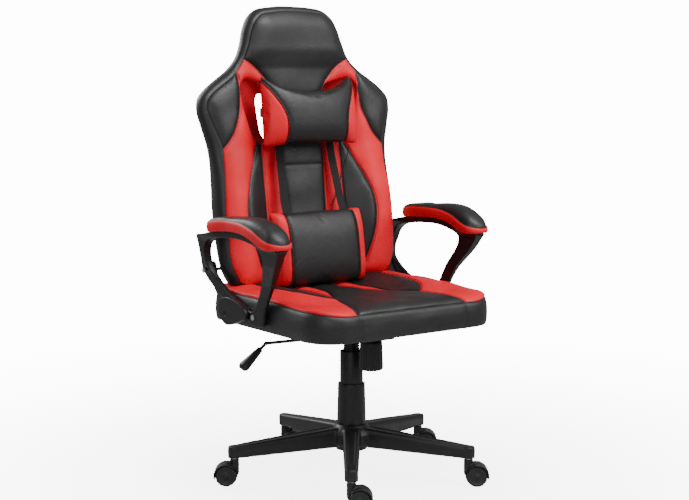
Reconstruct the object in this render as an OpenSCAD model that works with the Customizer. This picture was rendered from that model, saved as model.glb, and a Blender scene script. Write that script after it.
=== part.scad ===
// Gaming chair: five-star base on twin-wheel casters, gas lift, tilt
// mechanism, padded seat and back, loop armrests and two loose pillows.
// +Z is up, -Y is the front, and the origin is on the floor under the column.

/* [Base] */
// Radius from the column axis to a spoke tip
base_r = 310; // [255:5:380]
// Width of a spoke at its tip
spoke_tip_w = 31; // [28:1:40]
// Width of a spoke at the hub
spoke_root_w = 46; // [38:1:56]
// Height of the hub's top face
hub_top = 131; // [120:1:160]
// Height of the hub's underside
hub_bottom = 82; // [76:1:88]
// Height of a spoke's top face at its tip
tip_top = 94; // [88:1:100]
// Diameter of the hub
hub_d = 78; // [72:1:92]

/* [Casters] */
// Wheel diameter
wheel_d = 50; // [44:1:60]
// Width of one wheel
wheel_w = 17; // [12:0.5:21]
// Distance from the stem axis to the wheel axle
caster_trail = 20; // [16:0.5:26]
// Thickness of the web between the two wheels
web_t = 8; // [6:0.5:12]
// Diameter of the caster stem
stem_d = 11; // [9:0.5:14]
// Diameter of the wheel axle
axle_d = 6; // [5:0.5:8]
// Direction in which the left caster trails, degrees
left_trail_angle = 144; // [0:1:359]
// Direction in which the other casters trail, degrees
trail_angle = -36; // [-180:1:180]

/* [Column] */
// Outer diameter of the column tube
tube_d = 50; // [46:1:54]
// Wall of the column tube
tube_wall = 2.2; // [1.5:0.1:3]
// Height of the column tube's top
tube_top = 285; // [270:1:295]
// Diameter of the gas cylinder
cylinder_d = 28; // [24:0.5:32]
// Wall of the gas cylinder
cylinder_wall = 2.5; // [2:0.1:3.5]
// Diameter of the piston rod
rod_d = 10; // [8:0.5:12]
// Outer diameter of the lower cover at its foot
lower_cover_d = 71; // [68:1:76]
// Outer diameter of the middle cover
middle_cover_d = 56; // [55:0.5:60]
// Height of the lower cover's top
lower_cover_top = 231; // [215:1:245]
// Height of the middle cover's top
middle_cover_top = 311; // [295:1:318]
// Travel of the lift below the modelled height
lift_down = 25; // [10:1:25]

/* [Mechanism] */
// Width of the mechanism housing
mech_w = 94; // [84:1:110]
// Sheet thickness of the housing and the seat plate
sheet_t = 3; // [2:0.5:4]
// Side of the square seat plate
plate_w = 190; // [170:5:240]
// Distance of the tilt pin in front of the column
pivot_forward = 45; // [40:1:52]
// Diameter of the tilt pin
pivot_d = 10; // [8:0.5:12]
// Diameter of the tension knob
knob_d = 58; // [50:1:64]
// Distance of the tension knob in front of the column
knob_forward = 80; // [76:1:88]
// Height of the tension knob's grip
knob_h = 50; // [40:1:55]
// Diameter of the lever rod
lever_d = 8; // [7:0.5:10]
// Reach of the lever's bend from the column
lever_reach = 220; // [180:5:240]

/* [Seat] */
// Width of the seat
seat_w = 520; // [430:2:630]
// Distance from the column to the seat's front
seat_front = 250; // [210:5:300]
// Distance from the column to the seat's rear
seat_rear = 232; // [225:1:270]
// Height of the seat's underside
seat_z = 385; // [380:1:400]
// Height of the seat's side band
seat_band_h = 72; // [58:1:90]
// Radius of the seat's front corners
seat_corner_r = 80; // [50:5:110]
// Thickness of the seat board
board_t = 12; // [9:1:18]

/* [Back] */
// Distance from the column to the middle of the back's foot
back_foot_y = 175; // [172:1:185]
// Backward lean of the back, degrees
back_lean = 8; // [4:0.5:14]
// Height of the back
back_h = 685; // [570:5:825]
// How far each shoulder wing stands out beyond the waist
wing_out = 25; // [10:1:45]
// How far the waist lies inside the seat's side
waist_in = 1; // [0:0.5:10]
// Width across the neck of the back
neck_w = 300; // [270:2:360]
// Width across the top of the head section
head_w = 210; // [160:2:250]
// Thickness of the side bolsters in front of the middle plane
bolster_t = 46; // [36:1:56]
// Thickness of the back behind the middle plane
rear_t = 38; // [30:1:48]
// Height of the lower end of a shoulder hole above the back's foot
hole_low = 350; // [330:5:380]
// Length of a shoulder hole
hole_len = 140; // [100:5:150]
// Width of a shoulder hole at the rear
hole_w = 42; // [36:1:46]

/* [Pillows] */
// Width of the head pillow
head_pillow_w = 288; // [250:2:310]
// Height of the head pillow
head_pillow_h = 168; // [140:2:190]
// Width of the lumbar pillow
lumbar_w = 278; // [240:2:300]
// Height of the lumbar pillow
lumbar_h = 190; // [160:2:200]
// Width of the webbing
webbing_w = 22; // [18:1:28]
// Thickness of the webbing
webbing_t = 1.6; // [1.2:0.1:2.4]

/* [Armrests] */
// Width of an arm pad
pad_w = 70; // [56:1:84]
// Distance from the seat's side to the middle of a pad
pad_out = 30; // [26:1:50]
// Thickness of the arm frame where it is bolted to the chair
arm_t = 11; // [9:0.5:14]
// Thickness of the steel side bracket
bracket_t = 4; // [3:0.5:5]
// Diameter of the bolts
bolt_d = 8; // [6:0.5:10]

/* [Hidden] */
$fn = 64;

// Radial clearance of a shaft that turns or slides in a hole
fit = 0.05;
// Gap between parts that move past each other
gap = 0.4;

plastic = [0.13, 0.13, 0.13];
steel = [0.6, 0.6, 0.62];
black_leather = [0.16, 0.16, 0.17];
red_leather = [0.85, 0.14, 0.14];
fabric = [0.09, 0.09, 0.09];

// Base and casters
spokes = 5;
tip_bottom = wheel_d + 17;
stem_r = base_r - spoke_tip_w / 2;
boss_d = 22;
axle_z = wheel_d / 2;
wheel_clear = 1;
fender_t = 2.6;
fender_r = wheel_d / 2 + 2;
body_top = tip_bottom - 2.2;
collar_t = 1.6;
stem_low = wheel_d - 3;
function spoke_angle(i) = 90 + 72 * i;
function trail_of(i) = i == 1 ? left_trail_angle : trail_angle;

// Column
tube_bottom = hub_bottom - 12;
tube_floor = 5;
bearing_h = 8;
rod_bottom = tube_bottom - 4;
flange_z = tube_bottom + tube_floor + bearing_h + fit;
piston_z = tube_top - 18;
cylinder_bottom = 150;
cover_wall = 2;
lower_cover_tip_d = lower_cover_d - 5;
middle_cover_bottom = 165;
sleeve_d = cylinder_d + 11;
sleeve_bottom = tube_top + lift_down + 3;

// Mechanism
mech_z = seat_z - 47;
front_floor = seat_z - 35;
plate_z = seat_z + 2 - sheet_t;
pivot_z = seat_z - 23;
cylinder_top = mech_z + 24;
button_top = cylinder_top + 5;
lever_pivot_x = 34;
lever_z = mech_z + 14;
ear_x = mech_w / 2 + 3;
ear_t = sheet_t;
tongue_z = front_floor + 16;
tongue_x = 22;
bolt_head_z = plate_z - 5;
bolt_head_t = 3;
tension_d = 10;

// Seat
seat_top = seat_z + seat_band_h;
bolster_rise = 7;
board_w = seat_w - 70;
board_front = seat_front - 45;
board_rear = seat_rear - 30;
bolt_x = plate_w / 2 - 20;

// Back: heights are measured from its foot, which stands on the seat
foot_z = seat_top;
waist_w = seat_w - 2 * waist_in;
wing_w = waist_w + 2 * wing_out;
lean_slope = tan(back_lean);
neck_h = back_h - 125;
wing_h = back_h - 252;
// Half-width of the back at each height
width_points = [
    [0, waist_w / 2 - 18], [45, waist_w / 2 - 2], [105, waist_w / 2 + 0.5],
    [180, waist_w / 2 + 3], [250, waist_w / 2], [wing_h - 125, waist_w / 2 - 1],
    [wing_h - 83, waist_w / 2 + 5], [wing_h - 40, wing_w / 2 - 9], [wing_h, wing_w / 2],
    [wing_h + 28, wing_w / 2 - 4], [wing_h + 52, wing_w / 2 - 27], [wing_h + 72, wing_w / 2 - 55],
    [wing_h + 92, neck_w / 2 + 45], [neck_h - 3, neck_w / 2 + 15], [neck_h + 35, neck_w / 2 - 2],
    [neck_h + 78, head_w / 2 + 32], [back_h - 18, head_w / 2 + 6], [back_h - 6, head_w / 2 - 20],
    [back_h, head_w / 2 - 48]];
// Front thickness of the bolsters at each height
bolster_points = [
    [0, bolster_t], [150, bolster_t], [230, bolster_t - 3], [340, bolster_t - 16],
    [wing_h, bolster_t - 18], [neck_h, bolster_t - 17], [back_h - 40, bolster_t - 14],
    [back_h - 12, bolster_t - 24], [back_h, 8]];
// Front thickness of the middle panel at each height
middle_points = [
    [0, 14], [230, 11], [340, 10], [wing_h, 10], [neck_h - 25, 14], [neck_h + 20, 26],
    [back_h - 40, 31], [back_h - 12, 22], [back_h, 8]];
// Rear thickness at each height
rear_points = [
    [0, rear_t - 6], [30, rear_t], [300, rear_t], [wing_h, rear_t - 4], [neck_h, rear_t - 8],
    [back_h - 40, rear_t - 12], [back_h - 12, rear_t - 18], [back_h, 8]];
// The bolsters rise between these distances from the middle
recess_in = waist_w / 2 - 134;
recess_out = waist_w / 2 - 64;
function mid_y(h) = back_foot_y + h * lean_slope;
function smooth_step(a, b, x) = let (t = min(1, max(0, (x - a) / (b - a)))) t * t * (3 - 2 * t);
function front_t(x, h) =
    let (side = smooth_step(recess_in, recess_out, abs(x)))
    lookup(h, middle_points) * (1 - side) + lookup(h, bolster_points) * side;

// Arms and brackets
bracket_x = seat_w / 2 + 0.2;
arm_x = bracket_x + bracket_t + 0.2;
arm_bottom = seat_z + 12;
pad_reach = seat_w / 2 + pad_out;
pad_z = seat_z + 235;

// A closed Catmull-Rom curve through the points, with n steps a span
function spline_point(a, b, c, d, t) =
    0.5 * (2 * b + (c - a) * t + (2 * a - 5 * b + 4 * c - d) * t * t
    + (3 * b - a - 3 * c + d) * t * t * t);
function closed_spline(p, n) = [
    for (i = [0 : len(p) - 1], k = [0 : n - 1])
        spline_point(p[(i + len(p) - 1) % len(p)], p[i], p[(i + 1) % len(p)], p[(i + 2) % len(p)], k / n)];
function power(v, e) = sign(v) * pow(abs(v), e);

// ---------- general shapes ----------

// A tube from z0 to z1 with an outer and an inner radius
module ring(ro, ri, z0, z1) {
    translate([0, 0, z0])
        difference() {
            cylinder(r = ro, h = z1 - z0);
            translate([0, 0, -1]) cylinder(r = ri, h = z1 - z0 + 2);
        }
}

// A tapered tube
module cone_ring(ro0, ro1, wall, z0, z1) {
    rotate_extrude()
        polygon([[ro0 - wall, z0], [ro0, z0], [ro1, z1], [ro1 - wall, z1]]);
}

// Extrudes a YZ outline from x0 to x1
module side_extrude(x0, x1) {
    translate([x0, 0, 0])
        rotate([90, 0, 90])
            linear_extrude(height = x1 - x0)
                children();
}

// A rounded rectangle with its own radius for the front corners
module rounded_plan(w, front, rear, r_front, r_rear) {
    union() {
        translate([-w / 2 + r_front, -front]) square([w - 2 * r_front, front]);
        translate([-w / 2, -front + r_front]) square([w, front + rear - r_front - r_rear]);
        translate([-w / 2 + r_rear, 0]) square([w - 2 * r_rear, rear]);
        for (s = [-1, 1]) {
            translate([s * (w / 2 - r_front), -front + r_front]) circle(r = r_front);
            translate([s * (w / 2 - r_rear), rear - r_rear]) circle(r = r_rear);
        }
    }
}

// A straight round rod between two points
module rod_between(a, b, r) {
    v = b - a;
    l = norm(v);
    translate(a)
        rotate([0, acos(v[2] / l), atan2(v[1], v[0])])
            cylinder(r = r, h = l);
}

// A solid lofted through rings of equal point counts
module loft(rings) {
    n = len(rings[0]);
    m = len(rings);
    points = [for (r = rings) for (p = r) p];
    sides = [
        for (j = [0 : m - 2], i = [0 : n - 1])
            each [
                [j * n + i, (j + 1) * n + i, (j + 1) * n + (i + 1) % n],
                [j * n + i, (j + 1) * n + (i + 1) % n, j * n + (i + 1) % n]]];
    ends = [
        [for (i = [0 : n - 1]) i],
        [for (i = [n - 1 : -1 : 0]) (m - 1) * n + i]];
    polyhedron(points = points, faces = concat(sides, ends), convexity = 6);
}

// ---------- base ----------

module spoke() {
    root_r = hub_d / 2 - 4;
    difference() {
        intersection() {
            rotate([90, 0, 0])
                translate([0, 0, -40])
                    linear_extrude(height = 80)
                        polygon([
                            [20, hub_bottom], [root_r + 6, hub_bottom + 2], [stem_r - 25, tip_bottom + 1],
                            [base_r + 5, tip_bottom], [base_r + 5, tip_top - 6], [base_r - 5, tip_top],
                            [stem_r, tip_top + 2], [root_r + 30, hub_top - 8], [root_r, hub_top - 2],
                            [20, hub_top - 2]]);
            linear_extrude(height = hub_top + 10)
                union() {
                    polygon([
                        [20, -12], [root_r, -spoke_root_w / 2], [stem_r, -spoke_tip_w / 2 + 1],
                        [stem_r, spoke_tip_w / 2 - 1], [root_r, spoke_root_w / 2], [20, 12]]);
                    translate([stem_r, 0]) circle(d = spoke_tip_w);
                }
        }
        // long groove between the two ridges on top
        rotate([90, 0, 0])
            translate([0, 0, -2.5])
                linear_extrude(height = 5)
                    polygon([
                        [root_r + 8, hub_top + 5], [root_r + 8, hub_top - 6], [root_r + 30, hub_top - 12],
                        [stem_r - 22, tip_top - 1], [stem_r - 16, tip_top + 12]]);
        translate([stem_r, 0, tip_bottom - 1]) cylinder(d = stem_d, h = tip_top - tip_bottom - 4);
    }
}

module base_star() {
    color(plastic)
        difference() {
            union() {
                for (i = [0 : spokes - 1]) rotate([0, 0, spoke_angle(i)]) spoke();
                translate([0, 0, hub_bottom - 6]) cylinder(d = hub_d, h = hub_top - hub_bottom + 6);
            }
            translate([0, 0, hub_bottom - 10]) cylinder(d = tube_d, h = hub_top - hub_bottom + 20);
        }
}

module at_caster(i) {
    rotate([0, 0, spoke_angle(i)])
        translate([stem_r, 0, 0])
            rotate([0, 0, trail_of(i) - spoke_angle(i)])
                children();
}

module caster_stems() {
    color(steel)
        for (i = [0 : spokes - 1])
            at_caster(i)
                union() {
                    translate([0, 0, stem_low]) cylinder(d = stem_d, h = tip_top - 5 - stem_low);
                    translate([0, 0, tip_bottom - collar_t]) cylinder(d = stem_d + 6, h = collar_t);
                }
}

module caster_body(i) {
    color(plastic)
        at_caster(i)
            difference() {
                union() {
                    // boss that turns on the stem
                    rotate_extrude()
                        polygon([
                            [0, axle_z - 4], [boss_d * 0.3, axle_z - 2], [boss_d * 0.45, axle_z + 2],
                            [boss_d / 2, axle_z + 8], [boss_d / 2, body_top], [0, body_top]]);
                    // web between the wheels
                    translate([0, -web_t / 2 - 0.5, axle_z - 9])
                        cube([caster_trail, web_t + 1, body_top - axle_z + 2]);
                    translate([caster_trail, web_t / 2 + 0.5, axle_z])
                        rotate([90, 0, 0]) cylinder(r = fender_r, h = web_t + 1);
                    // fender over the wheels
                    translate([caster_trail, 0, axle_z])
                        rotate([90, 0, 0])
                            rotate([0, 0, -12])
                                rotate_extrude(angle = 148, $fn = 96)
                                    translate([fender_r - wheel_clear - 0.6, -web_t / 2 - wheel_w - 1.5])
                                        square([fender_t + wheel_clear + 0.6, web_t + 2 * wheel_w + 3]);
                }
                // room for the wheels
                for (s = [-1, 1])
                    translate([caster_trail, s * (web_t / 2 + 25), axle_z])
                        rotate([90, 0, 0]) cylinder(r = fender_r - wheel_clear, h = 50, center = true);
                // bore for the stem, and the axle hole
                translate([0, 0, stem_low - 1]) cylinder(d = stem_d + 2 * fit, h = 60);
                translate([caster_trail, 30, axle_z]) rotate([90, 0, 0]) cylinder(d = axle_d, h = 60);
                // the web stays above the floor
                translate([-50, -50, -10]) cube([120, 100, 14]);
            }
}

module caster_axle(i) {
    color(steel)
        at_caster(i)
            translate([caster_trail, web_t / 2 + wheel_w - 3, axle_z])
                rotate([90, 0, 0])
                    cylinder(d = axle_d, h = web_t + 2 * wheel_w - 6);
}

module wheel(i, side) {
    r = wheel_d / 2;
    color(plastic)
        at_caster(i)
            translate([caster_trail, side * (web_t / 2 + gap), axle_z])
                rotate([side * -90, 0, 0])
                    rotate_extrude($fn = 96)
                        polygon([
                            [axle_d / 2 + fit, 0], [r - 2, 0], [r, 2], [r, wheel_w - 5],
                            [r - 1.5, wheel_w - 2], [r - 4, wheel_w - gap], [r - 6, wheel_w],
                            [0, wheel_w + 0.6], [0, wheel_w - 2.2], [axle_d / 2 + fit, wheel_w - 2.2]]);
}

// ---------- column ----------

module column_tube() {
    color(steel)
        difference() {
            translate([0, 0, tube_bottom]) cylinder(d = tube_d, h = tube_top - tube_bottom);
            translate([0, 0, tube_bottom + tube_floor]) cylinder(d = tube_d - 2 * tube_wall, h = tube_top);
            translate([0, 0, tube_bottom - 1]) cylinder(d = rod_d + 2 * fit, h = tube_floor + 2);
        }
}

module tube_bushing() {
    color("white") ring(tube_d / 2 - tube_wall, cylinder_d / 2 + fit, tube_top - 60, tube_top);
}

module thrust_bearing() {
    z0 = tube_bottom + tube_floor;
    color(steel) ring(rod_d / 2 + 8, rod_d / 2 + 0.3, z0, z0 + bearing_h);
}

module lift_clip() {
    color(steel) ring(rod_d / 2 + 4, rod_d / 2, rod_bottom + 1, tube_bottom - 0.1);
}

module piston_rod() {
    color(steel)
        union() {
            translate([0, 0, rod_bottom]) cylinder(d = rod_d, h = piston_z + 8 - rod_bottom);
            translate([0, 0, flange_z]) cylinder(d = rod_d + 8, h = 3);
            translate([0, 0, piston_z]) cylinder(d = cylinder_d - 2 * cylinder_wall - 2 * fit, h = 10);
        }
}

module gas_cylinder() {
    inner_r = cylinder_d / 2 - cylinder_wall;
    color(steel)
        difference() {
            union() {
                translate([0, 0, cylinder_bottom])
                    cylinder(d = cylinder_d, h = mech_z - cylinder_bottom);
                translate([0, 0, mech_z])
                    cylinder(d1 = cylinder_d, d2 = cylinder_d - 2, h = cylinder_top - mech_z);
            }
            translate([0, 0, cylinder_bottom + 10])
                cylinder(r = inner_r, h = mech_z - 6 - cylinder_bottom - 10);
            translate([0, 0, cylinder_bottom - 1]) cylinder(d = rod_d + 2 * fit, h = 20);
            translate([0, 0, cylinder_top - 14]) cylinder(r = 4 + fit, h = 20);
        }
}

module release_button() {
    color(steel) translate([0, 0, cylinder_top - 8]) cylinder(r = 4, h = button_top - cylinder_top + 8);
}

module cover_lower() {
    color(plastic)
        union() {
            cone_ring(lower_cover_d / 2, lower_cover_tip_d / 2, cover_wall, hub_top, lower_cover_top);
            ring(lower_cover_tip_d / 2 - 0.5, middle_cover_d / 2 + gap, lower_cover_top - 3, lower_cover_top);
        }
}

module cover_middle() {
    color(plastic)
        ring(middle_cover_d / 2, middle_cover_d / 2 - cover_wall, middle_cover_bottom, middle_cover_top);
}

module cover_upper() {
    color(plastic)
        difference() {
            translate([0, 0, sleeve_bottom]) cylinder(d = sleeve_d, h = mech_z - sleeve_bottom);
            translate([0, 0, sleeve_bottom - 1]) cylinder(d = cylinder_d, h = mech_z);
            for (z = [sleeve_bottom + 5 : 6 : mech_z - 5])
                ring(sleeve_d, sleeve_d / 2 - 2, z, z + 2.5);
        }
}

// ---------- tilt mechanism ----------

module mech_housing() {
    hollow_w = mech_w - 2 * sheet_t;
    nose = knob_forward + 30;
    color(plastic)
        difference() {
            union() {
                difference() {
                    side_extrude(-mech_w / 2, mech_w / 2)
                        polygon([
                            [-nose, front_floor], [-nose, seat_z - 9], [-pivot_forward - 6, seat_z - 9],
                            [-pivot_forward + 26, pivot_z + 5], [45, mech_z + 20], [45, mech_z],
                            [-22, mech_z], [-36, front_floor]]);
                    side_extrude(-hollow_w / 2, hollow_w / 2)
                        polygon([
                            [-nose + sheet_t, front_floor + sheet_t], [-nose + sheet_t, seat_z],
                            [42, seat_z], [42, mech_z + sheet_t],
                            [-21, mech_z + sheet_t], [-34, front_floor + sheet_t]]);
                }
                translate([0, 0, mech_z]) cylinder(d = cylinder_d + 10, h = cylinder_top - mech_z - 2);
            }
            // tapered socket for the gas cylinder
            translate([0, 0, mech_z])
                cylinder(d1 = cylinder_d, d2 = cylinder_d - 2, h = cylinder_top - mech_z);
            // holes for the tilt pin, the tension bolt and the lever
            translate([-60, -pivot_forward, pivot_z]) rotate([0, 90, 0]) cylinder(d = pivot_d, h = 120);
            translate([0, -knob_forward, front_floor - 1])
                cylinder(d = tension_d + 2 * fit, h = sheet_t + 2);
            translate([-mech_w / 2 - 1, -11, lever_z - 9]) cube([sheet_t + 2, 22, 20]);
        }
}

module mech_plate() {
    reach = plate_w / 2 + 5;
    color(plastic)
        difference() {
            union() {
                translate([-plate_w / 2, -reach, plate_z]) cube([plate_w, 2 * reach, sheet_t]);
                // ears on the tilt pin
                for (s = [-1, 1])
                    side_extrude(s * (ear_x + ear_t / 2) - ear_t / 2, s * (ear_x + ear_t / 2) + ear_t / 2)
                        polygon([
                            [-pivot_forward - 26, plate_z + 0.5], [-pivot_forward - 10, pivot_z - 9],
                            [-pivot_forward + 10, pivot_z - 9], [-pivot_forward + 26, plate_z + 0.5]]);
                // tongue under the tension spring
                translate([-tongue_x, -knob_forward - 18, tongue_z]) cube([2 * tongue_x, 34, sheet_t]);
                for (s = [-1, 1])
                    translate([s * (tongue_x - 1.5) - 1.5, -knob_forward - 18, tongue_z])
                        cube([sheet_t, 34, plate_z - tongue_z + 0.5]);
            }
            translate([-70, -pivot_forward, pivot_z])
                rotate([0, 90, 0]) cylinder(d = pivot_d + 2 * fit, h = 140);
            translate([0, -knob_forward, tongue_z - 1]) cylinder(r = tension_d / 2 + 3, h = 6);
            translate([0, 0, plate_z - 1]) cylinder(r = 24, h = 8);
            for (x = [-bolt_x, bolt_x], y = [-bolt_x, bolt_x])
                translate([x, y, plate_z - 1]) cylinder(d = bolt_d, h = 8);
        }
}

module tilt_pin() {
    half = ear_x + ear_t + 4;
    color(steel)
        translate([-half, -pivot_forward, pivot_z])
            rotate([0, 90, 0])
                union() {
                    cylinder(d = pivot_d, h = 2 * half);
                    translate([0, 0, -2]) cylinder(d = pivot_d + 6, h = 3);
                    translate([0, 0, 2 * half - 1]) cylinder(d = pivot_d + 6, h = 3);
                }
}

module tilt_spring() {
    z0 = tongue_z + sheet_t;
    coil_r = 2;
    coils = 3;
    color(steel)
        translate([0, -knob_forward, 0])
            for (k = [0 : coils - 1])
                translate([0, 0, z0 + coil_r + k * (bolt_head_z - z0 - 2 * coil_r) / (coils - 1)])
                    rotate_extrude()
                        translate([tension_d / 2 + 5, 0]) circle(r = coil_r, $fn = 24);
}

module tension_knob() {
    r = knob_d / 2;
    top = front_floor - gap;
    grip_top = top - 23;
    color(plastic)
        translate([0, -knob_forward, 0])
            difference() {
                union() {
                    translate([0, 0, grip_top - 1]) cylinder(d = 40, h = 24);
                    rotate_extrude($fn = 96)
                        polygon([
                            [0, grip_top - knob_h], [r * 0.5, grip_top - knob_h + 1],
                            [r * 0.85, grip_top - knob_h + 3], [r, grip_top - knob_h + 7],
                            [r - 1, grip_top - 2], [r - 3, grip_top], [0, grip_top]]);
                }
                for (a = [0 : 15 : 345])
                    rotate([0, 0, a])
                        translate([r + 1.6, 0, grip_top - knob_h + 8]) cylinder(r = 2.6, h = knob_h, $fn = 24);
                translate([0, 0, grip_top - 20]) cylinder(d = tension_d, h = 60);
            }
}

module tension_bolt() {
    knob_core = front_floor - gap - 23 - 20;
    color(steel)
        translate([0, -knob_forward, 0])
            union() {
                translate([0, 0, knob_core]) cylinder(d = tension_d, h = bolt_head_z + 1 - knob_core);
                translate([0, 0, bolt_head_z]) cylinder(r = tension_d / 2 + 8, h = bolt_head_t);
            }
}

// ---------- lever ----------

module lever_bush() {
    color(plastic)
        difference() {
            union() {
                translate([-mech_w / 2 - 8, 0, lever_z])
                    rotate([0, 90, 0]) cylinder(d = lever_d + 7, h = 25);
                // finger over the release button
                translate([-mech_w / 2 + 12, -4, lever_z - 5]) cube([5, 8, button_top + gap + 3 - lever_z + 5]);
                translate([-mech_w / 2 + 12, -4, button_top + gap]) cube([mech_w / 2 - 8, 8, 3]);
                // trunnions on which the lever tips
                translate([-lever_pivot_x, -12, lever_z])
                    rotate([-90, 0, 0]) cylinder(r = 4, h = 24);
            }
            translate([-mech_w / 2 - 9, 0, lever_z])
                rotate([0, 90, 0]) cylinder(d = lever_d + 2 * fit, h = 23);
        }
}

lever_points = [
    [-mech_w / 2 + 12.5, 0, lever_z],
    [-mech_w / 2 - 60, 0, lever_z],
    [-lever_reach, 42, lever_z - 6],
    [-lever_reach - 25, 46, lever_z - 28]];
handle_end = [-lever_reach - 62, 52, lever_z - 62];

module lever_rod() {
    color(plastic)
        union() {
            for (i = [0 : len(lever_points) - 2])
                rod_between(lever_points[i], lever_points[i + 1], lever_d / 2);
            for (i = [1 : len(lever_points) - 2])
                translate(lever_points[i]) rotate([0, 90, 90]) sphere(d = lever_d + 1.6);
        }
}

module lever_handle() {
    start = lever_points[2] + 0.55 * (lever_points[3] - lever_points[2]);
    v = handle_end - start;
    aim = [0, acos(v[2] / norm(v)), atan2(v[1], v[0])];
    color(plastic)
        difference() {
            hull() {
                translate(start) rotate(aim) cylinder(r = lever_d / 2 + 3, h = 3, $fn = 32);
                translate(handle_end) rotate(aim) translate([0, 0, -14])
                    scale([0.75, 1, 1]) cylinder(r = 16, h = 8, $fn = 32);
                translate(handle_end) rotate(aim) translate([0, 0, -8])
                    scale([0.6, 0.85, 1]) cylinder(r = 14, h = 8, $fn = 32);
            }
            rod_between(lever_points[2], lever_points[3], lever_d / 2);
        }
}

// ---------- seat ----------

module seat_board() {
    color("burlywood")
        translate([0, 0, seat_z + 2])
            linear_extrude(height = board_t)
                difference() {
                    rounded_plan(board_w, board_front, board_rear, 50, 30);
                    for (x = [-bolt_x, bolt_x], y = [-bolt_x, bolt_x])
                        translate([x, y]) circle(d = bolt_d);
                }
}

module seat_bolts() {
    color(steel)
        for (x = [-bolt_x, bolt_x], y = [-bolt_x, bolt_x])
            translate([x, y, 0])
                union() {
                    translate([0, 0, plate_z - 5]) cylinder(d = bolt_d * 1.7, h = 5);
                    translate([0, 0, plate_z - 1]) cylinder(d = bolt_d, h = board_t + sheet_t);
                }
}

module seat_cushion() {
    dish_w = seat_w - 210;
    top = seat_top + bolster_rise;
    color(red_leather)
        difference() {
            translate([0, 0, seat_z])
                linear_extrude(height = top - seat_z)
                    rounded_plan(seat_w, seat_front, seat_rear, seat_corner_r, 40);
            // pocket for the board
            translate([0, 0, seat_z - 1])
                linear_extrude(height = board_t + 3)
                    rounded_plan(board_w, board_front, board_rear, 50, 30);
            // the sitting surface lies between the bolsters
            translate([0, 0, seat_top - 5])
                linear_extrude(height = 40)
                    rounded_plan(dish_w, seat_front - 40, seat_rear + 20, 60, 10);
            // the front edge and the sides fall away
            translate([0, -seat_front, top + 14])
                rotate([0, 90, 0]) cylinder(r = 30, h = seat_w + 10, center = true);
            for (s = [-1, 1])
                translate([s * seat_w / 2, 0, top + 14])
                    rotate([90, 0, 0]) cylinder(r = 22, h = 2 * seat_w, center = true);
            // the rear is lower, under the back
            translate([-seat_w, back_foot_y - bolster_t - 14, seat_top - 2]) cube([2 * seat_w, 200, 40]);
        }
}

// ---------- back ----------

// The cutters of the shoulder holes end this far in front of and behind the middle plane
hole_reach = 60;
hole_flare = 86;
hole_rear_flare = -19;
ring_steps = 48;
back_levels = [
    0, 15, 45, 105, 180, 250, wing_h - 125, wing_h - 83, wing_h - 40, wing_h, wing_h + 28,
    wing_h + 52, wing_h + 72, wing_h + 92, neck_h - 3, neck_h + 35, neck_h + 78,
    back_h - 18, back_h - 6, back_h];
function back_ring(h) =
    let (w = lookup(h, width_points), rear = lookup(h, rear_points))
    [for (k = [0 : ring_steps - 1])
        let (
            a = 360 * k / ring_steps,
            x = w * power(cos(a), 0.55),
            edge = power(abs(sin(a)), 0.55),
            depth = sin(a) < 0 ? front_t(x, h) : rear)
        [x, mid_y(h) + sign(sin(a)) * edge * depth, foot_z + h]];

// Outline of a shoulder hole seen along the back's normal; s is the side
module hole_outline(s, spread) {
    inner = 66;
    polygon(closed_spline([
        [s * inner, hole_low + 12], [s * (inner + 16), hole_low],
        [s * (inner + hole_w - 12 + spread * 0.5), hole_low + 8],
        [s * (inner + hole_w + spread * 0.75), hole_low + hole_len * 0.5],
        [s * (inner + hole_w + 4 + spread), hole_low + hole_len - 14],
        [s * (inner + hole_w - 10 + spread * 0.8), hole_low + hole_len],
        [s * (inner + 4), hole_low + hole_len - 8], [s * (inner - 2), hole_low + hole_len * 0.5]], 3));
}

module along_back() {
    translate([0, back_foot_y, foot_z])
        rotate([90 - back_lean, 0, 0])
            children();
}

module back_cushion() {
    color(black_leather)
        difference() {
            loft([for (h = back_levels) back_ring(h)]);
            // the shoulder holes widen towards the front
            for (s = [-1, 1])
                along_back()
                    hull() {
                        translate([0, 0, hole_reach]) linear_extrude(height = 1) hole_outline(s, hole_flare);
                        translate([0, 0, -hole_reach]) linear_extrude(height = 1) hole_outline(s, hole_rear_flare);
                    }
        }
}

frame_tube_r = 9;
module back_frame() {
    low = 30;
    high = wing_h - 110;
    half = waist_w / 2 - 48;
    corners = [
        [-half, mid_y(low) + 8, foot_z + low], [half, mid_y(low) + 8, foot_z + low],
        [half, mid_y(high) + 8, foot_z + high], [-half, mid_y(high) + 8, foot_z + high]];
    color(steel)
        union() {
            for (i = [0 : 3]) rod_between(corners[i], corners[(i + 1) % 4], frame_tube_r);
            for (c = corners) translate(c) sphere(r = frame_tube_r + 1);
        }
}

// ---------- pillows ----------

// Middle height of each pillow above the back's foot
head_pillow_mid = 424;
lumbar_mid = 94;

module head_pillow() {
    half_w = head_pillow_w / 2;
    half_h = head_pillow_h / 2;
    centre_y = mid_y(head_pillow_mid) - 51;
    color(black_leather)
        for (s = [-1, 1])
            hull() {
                translate([0, centre_y, foot_z + head_pillow_mid])
                    rotate([-back_lean, 0, 0])
                        scale([0.5, 1, 1.9]) sphere(r = half_h / 2.2, $fn = 32);
                for (v = [-1, 1])
                    translate([s * (half_w - 9), mid_y(head_pillow_mid + v * (half_h - 9)) - 46,
                        foot_z + head_pillow_mid + v * (half_h - 9)])
                        sphere(r = 9, $fn = 24);
                translate([s * half_w * 0.55, centre_y + 3, foot_z + head_pillow_mid])
                    rotate([-back_lean, 0, 0])
                        scale([0.8, 0.8, 1.7]) sphere(r = half_h / 2.3, $fn = 24);
            }
}

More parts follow.
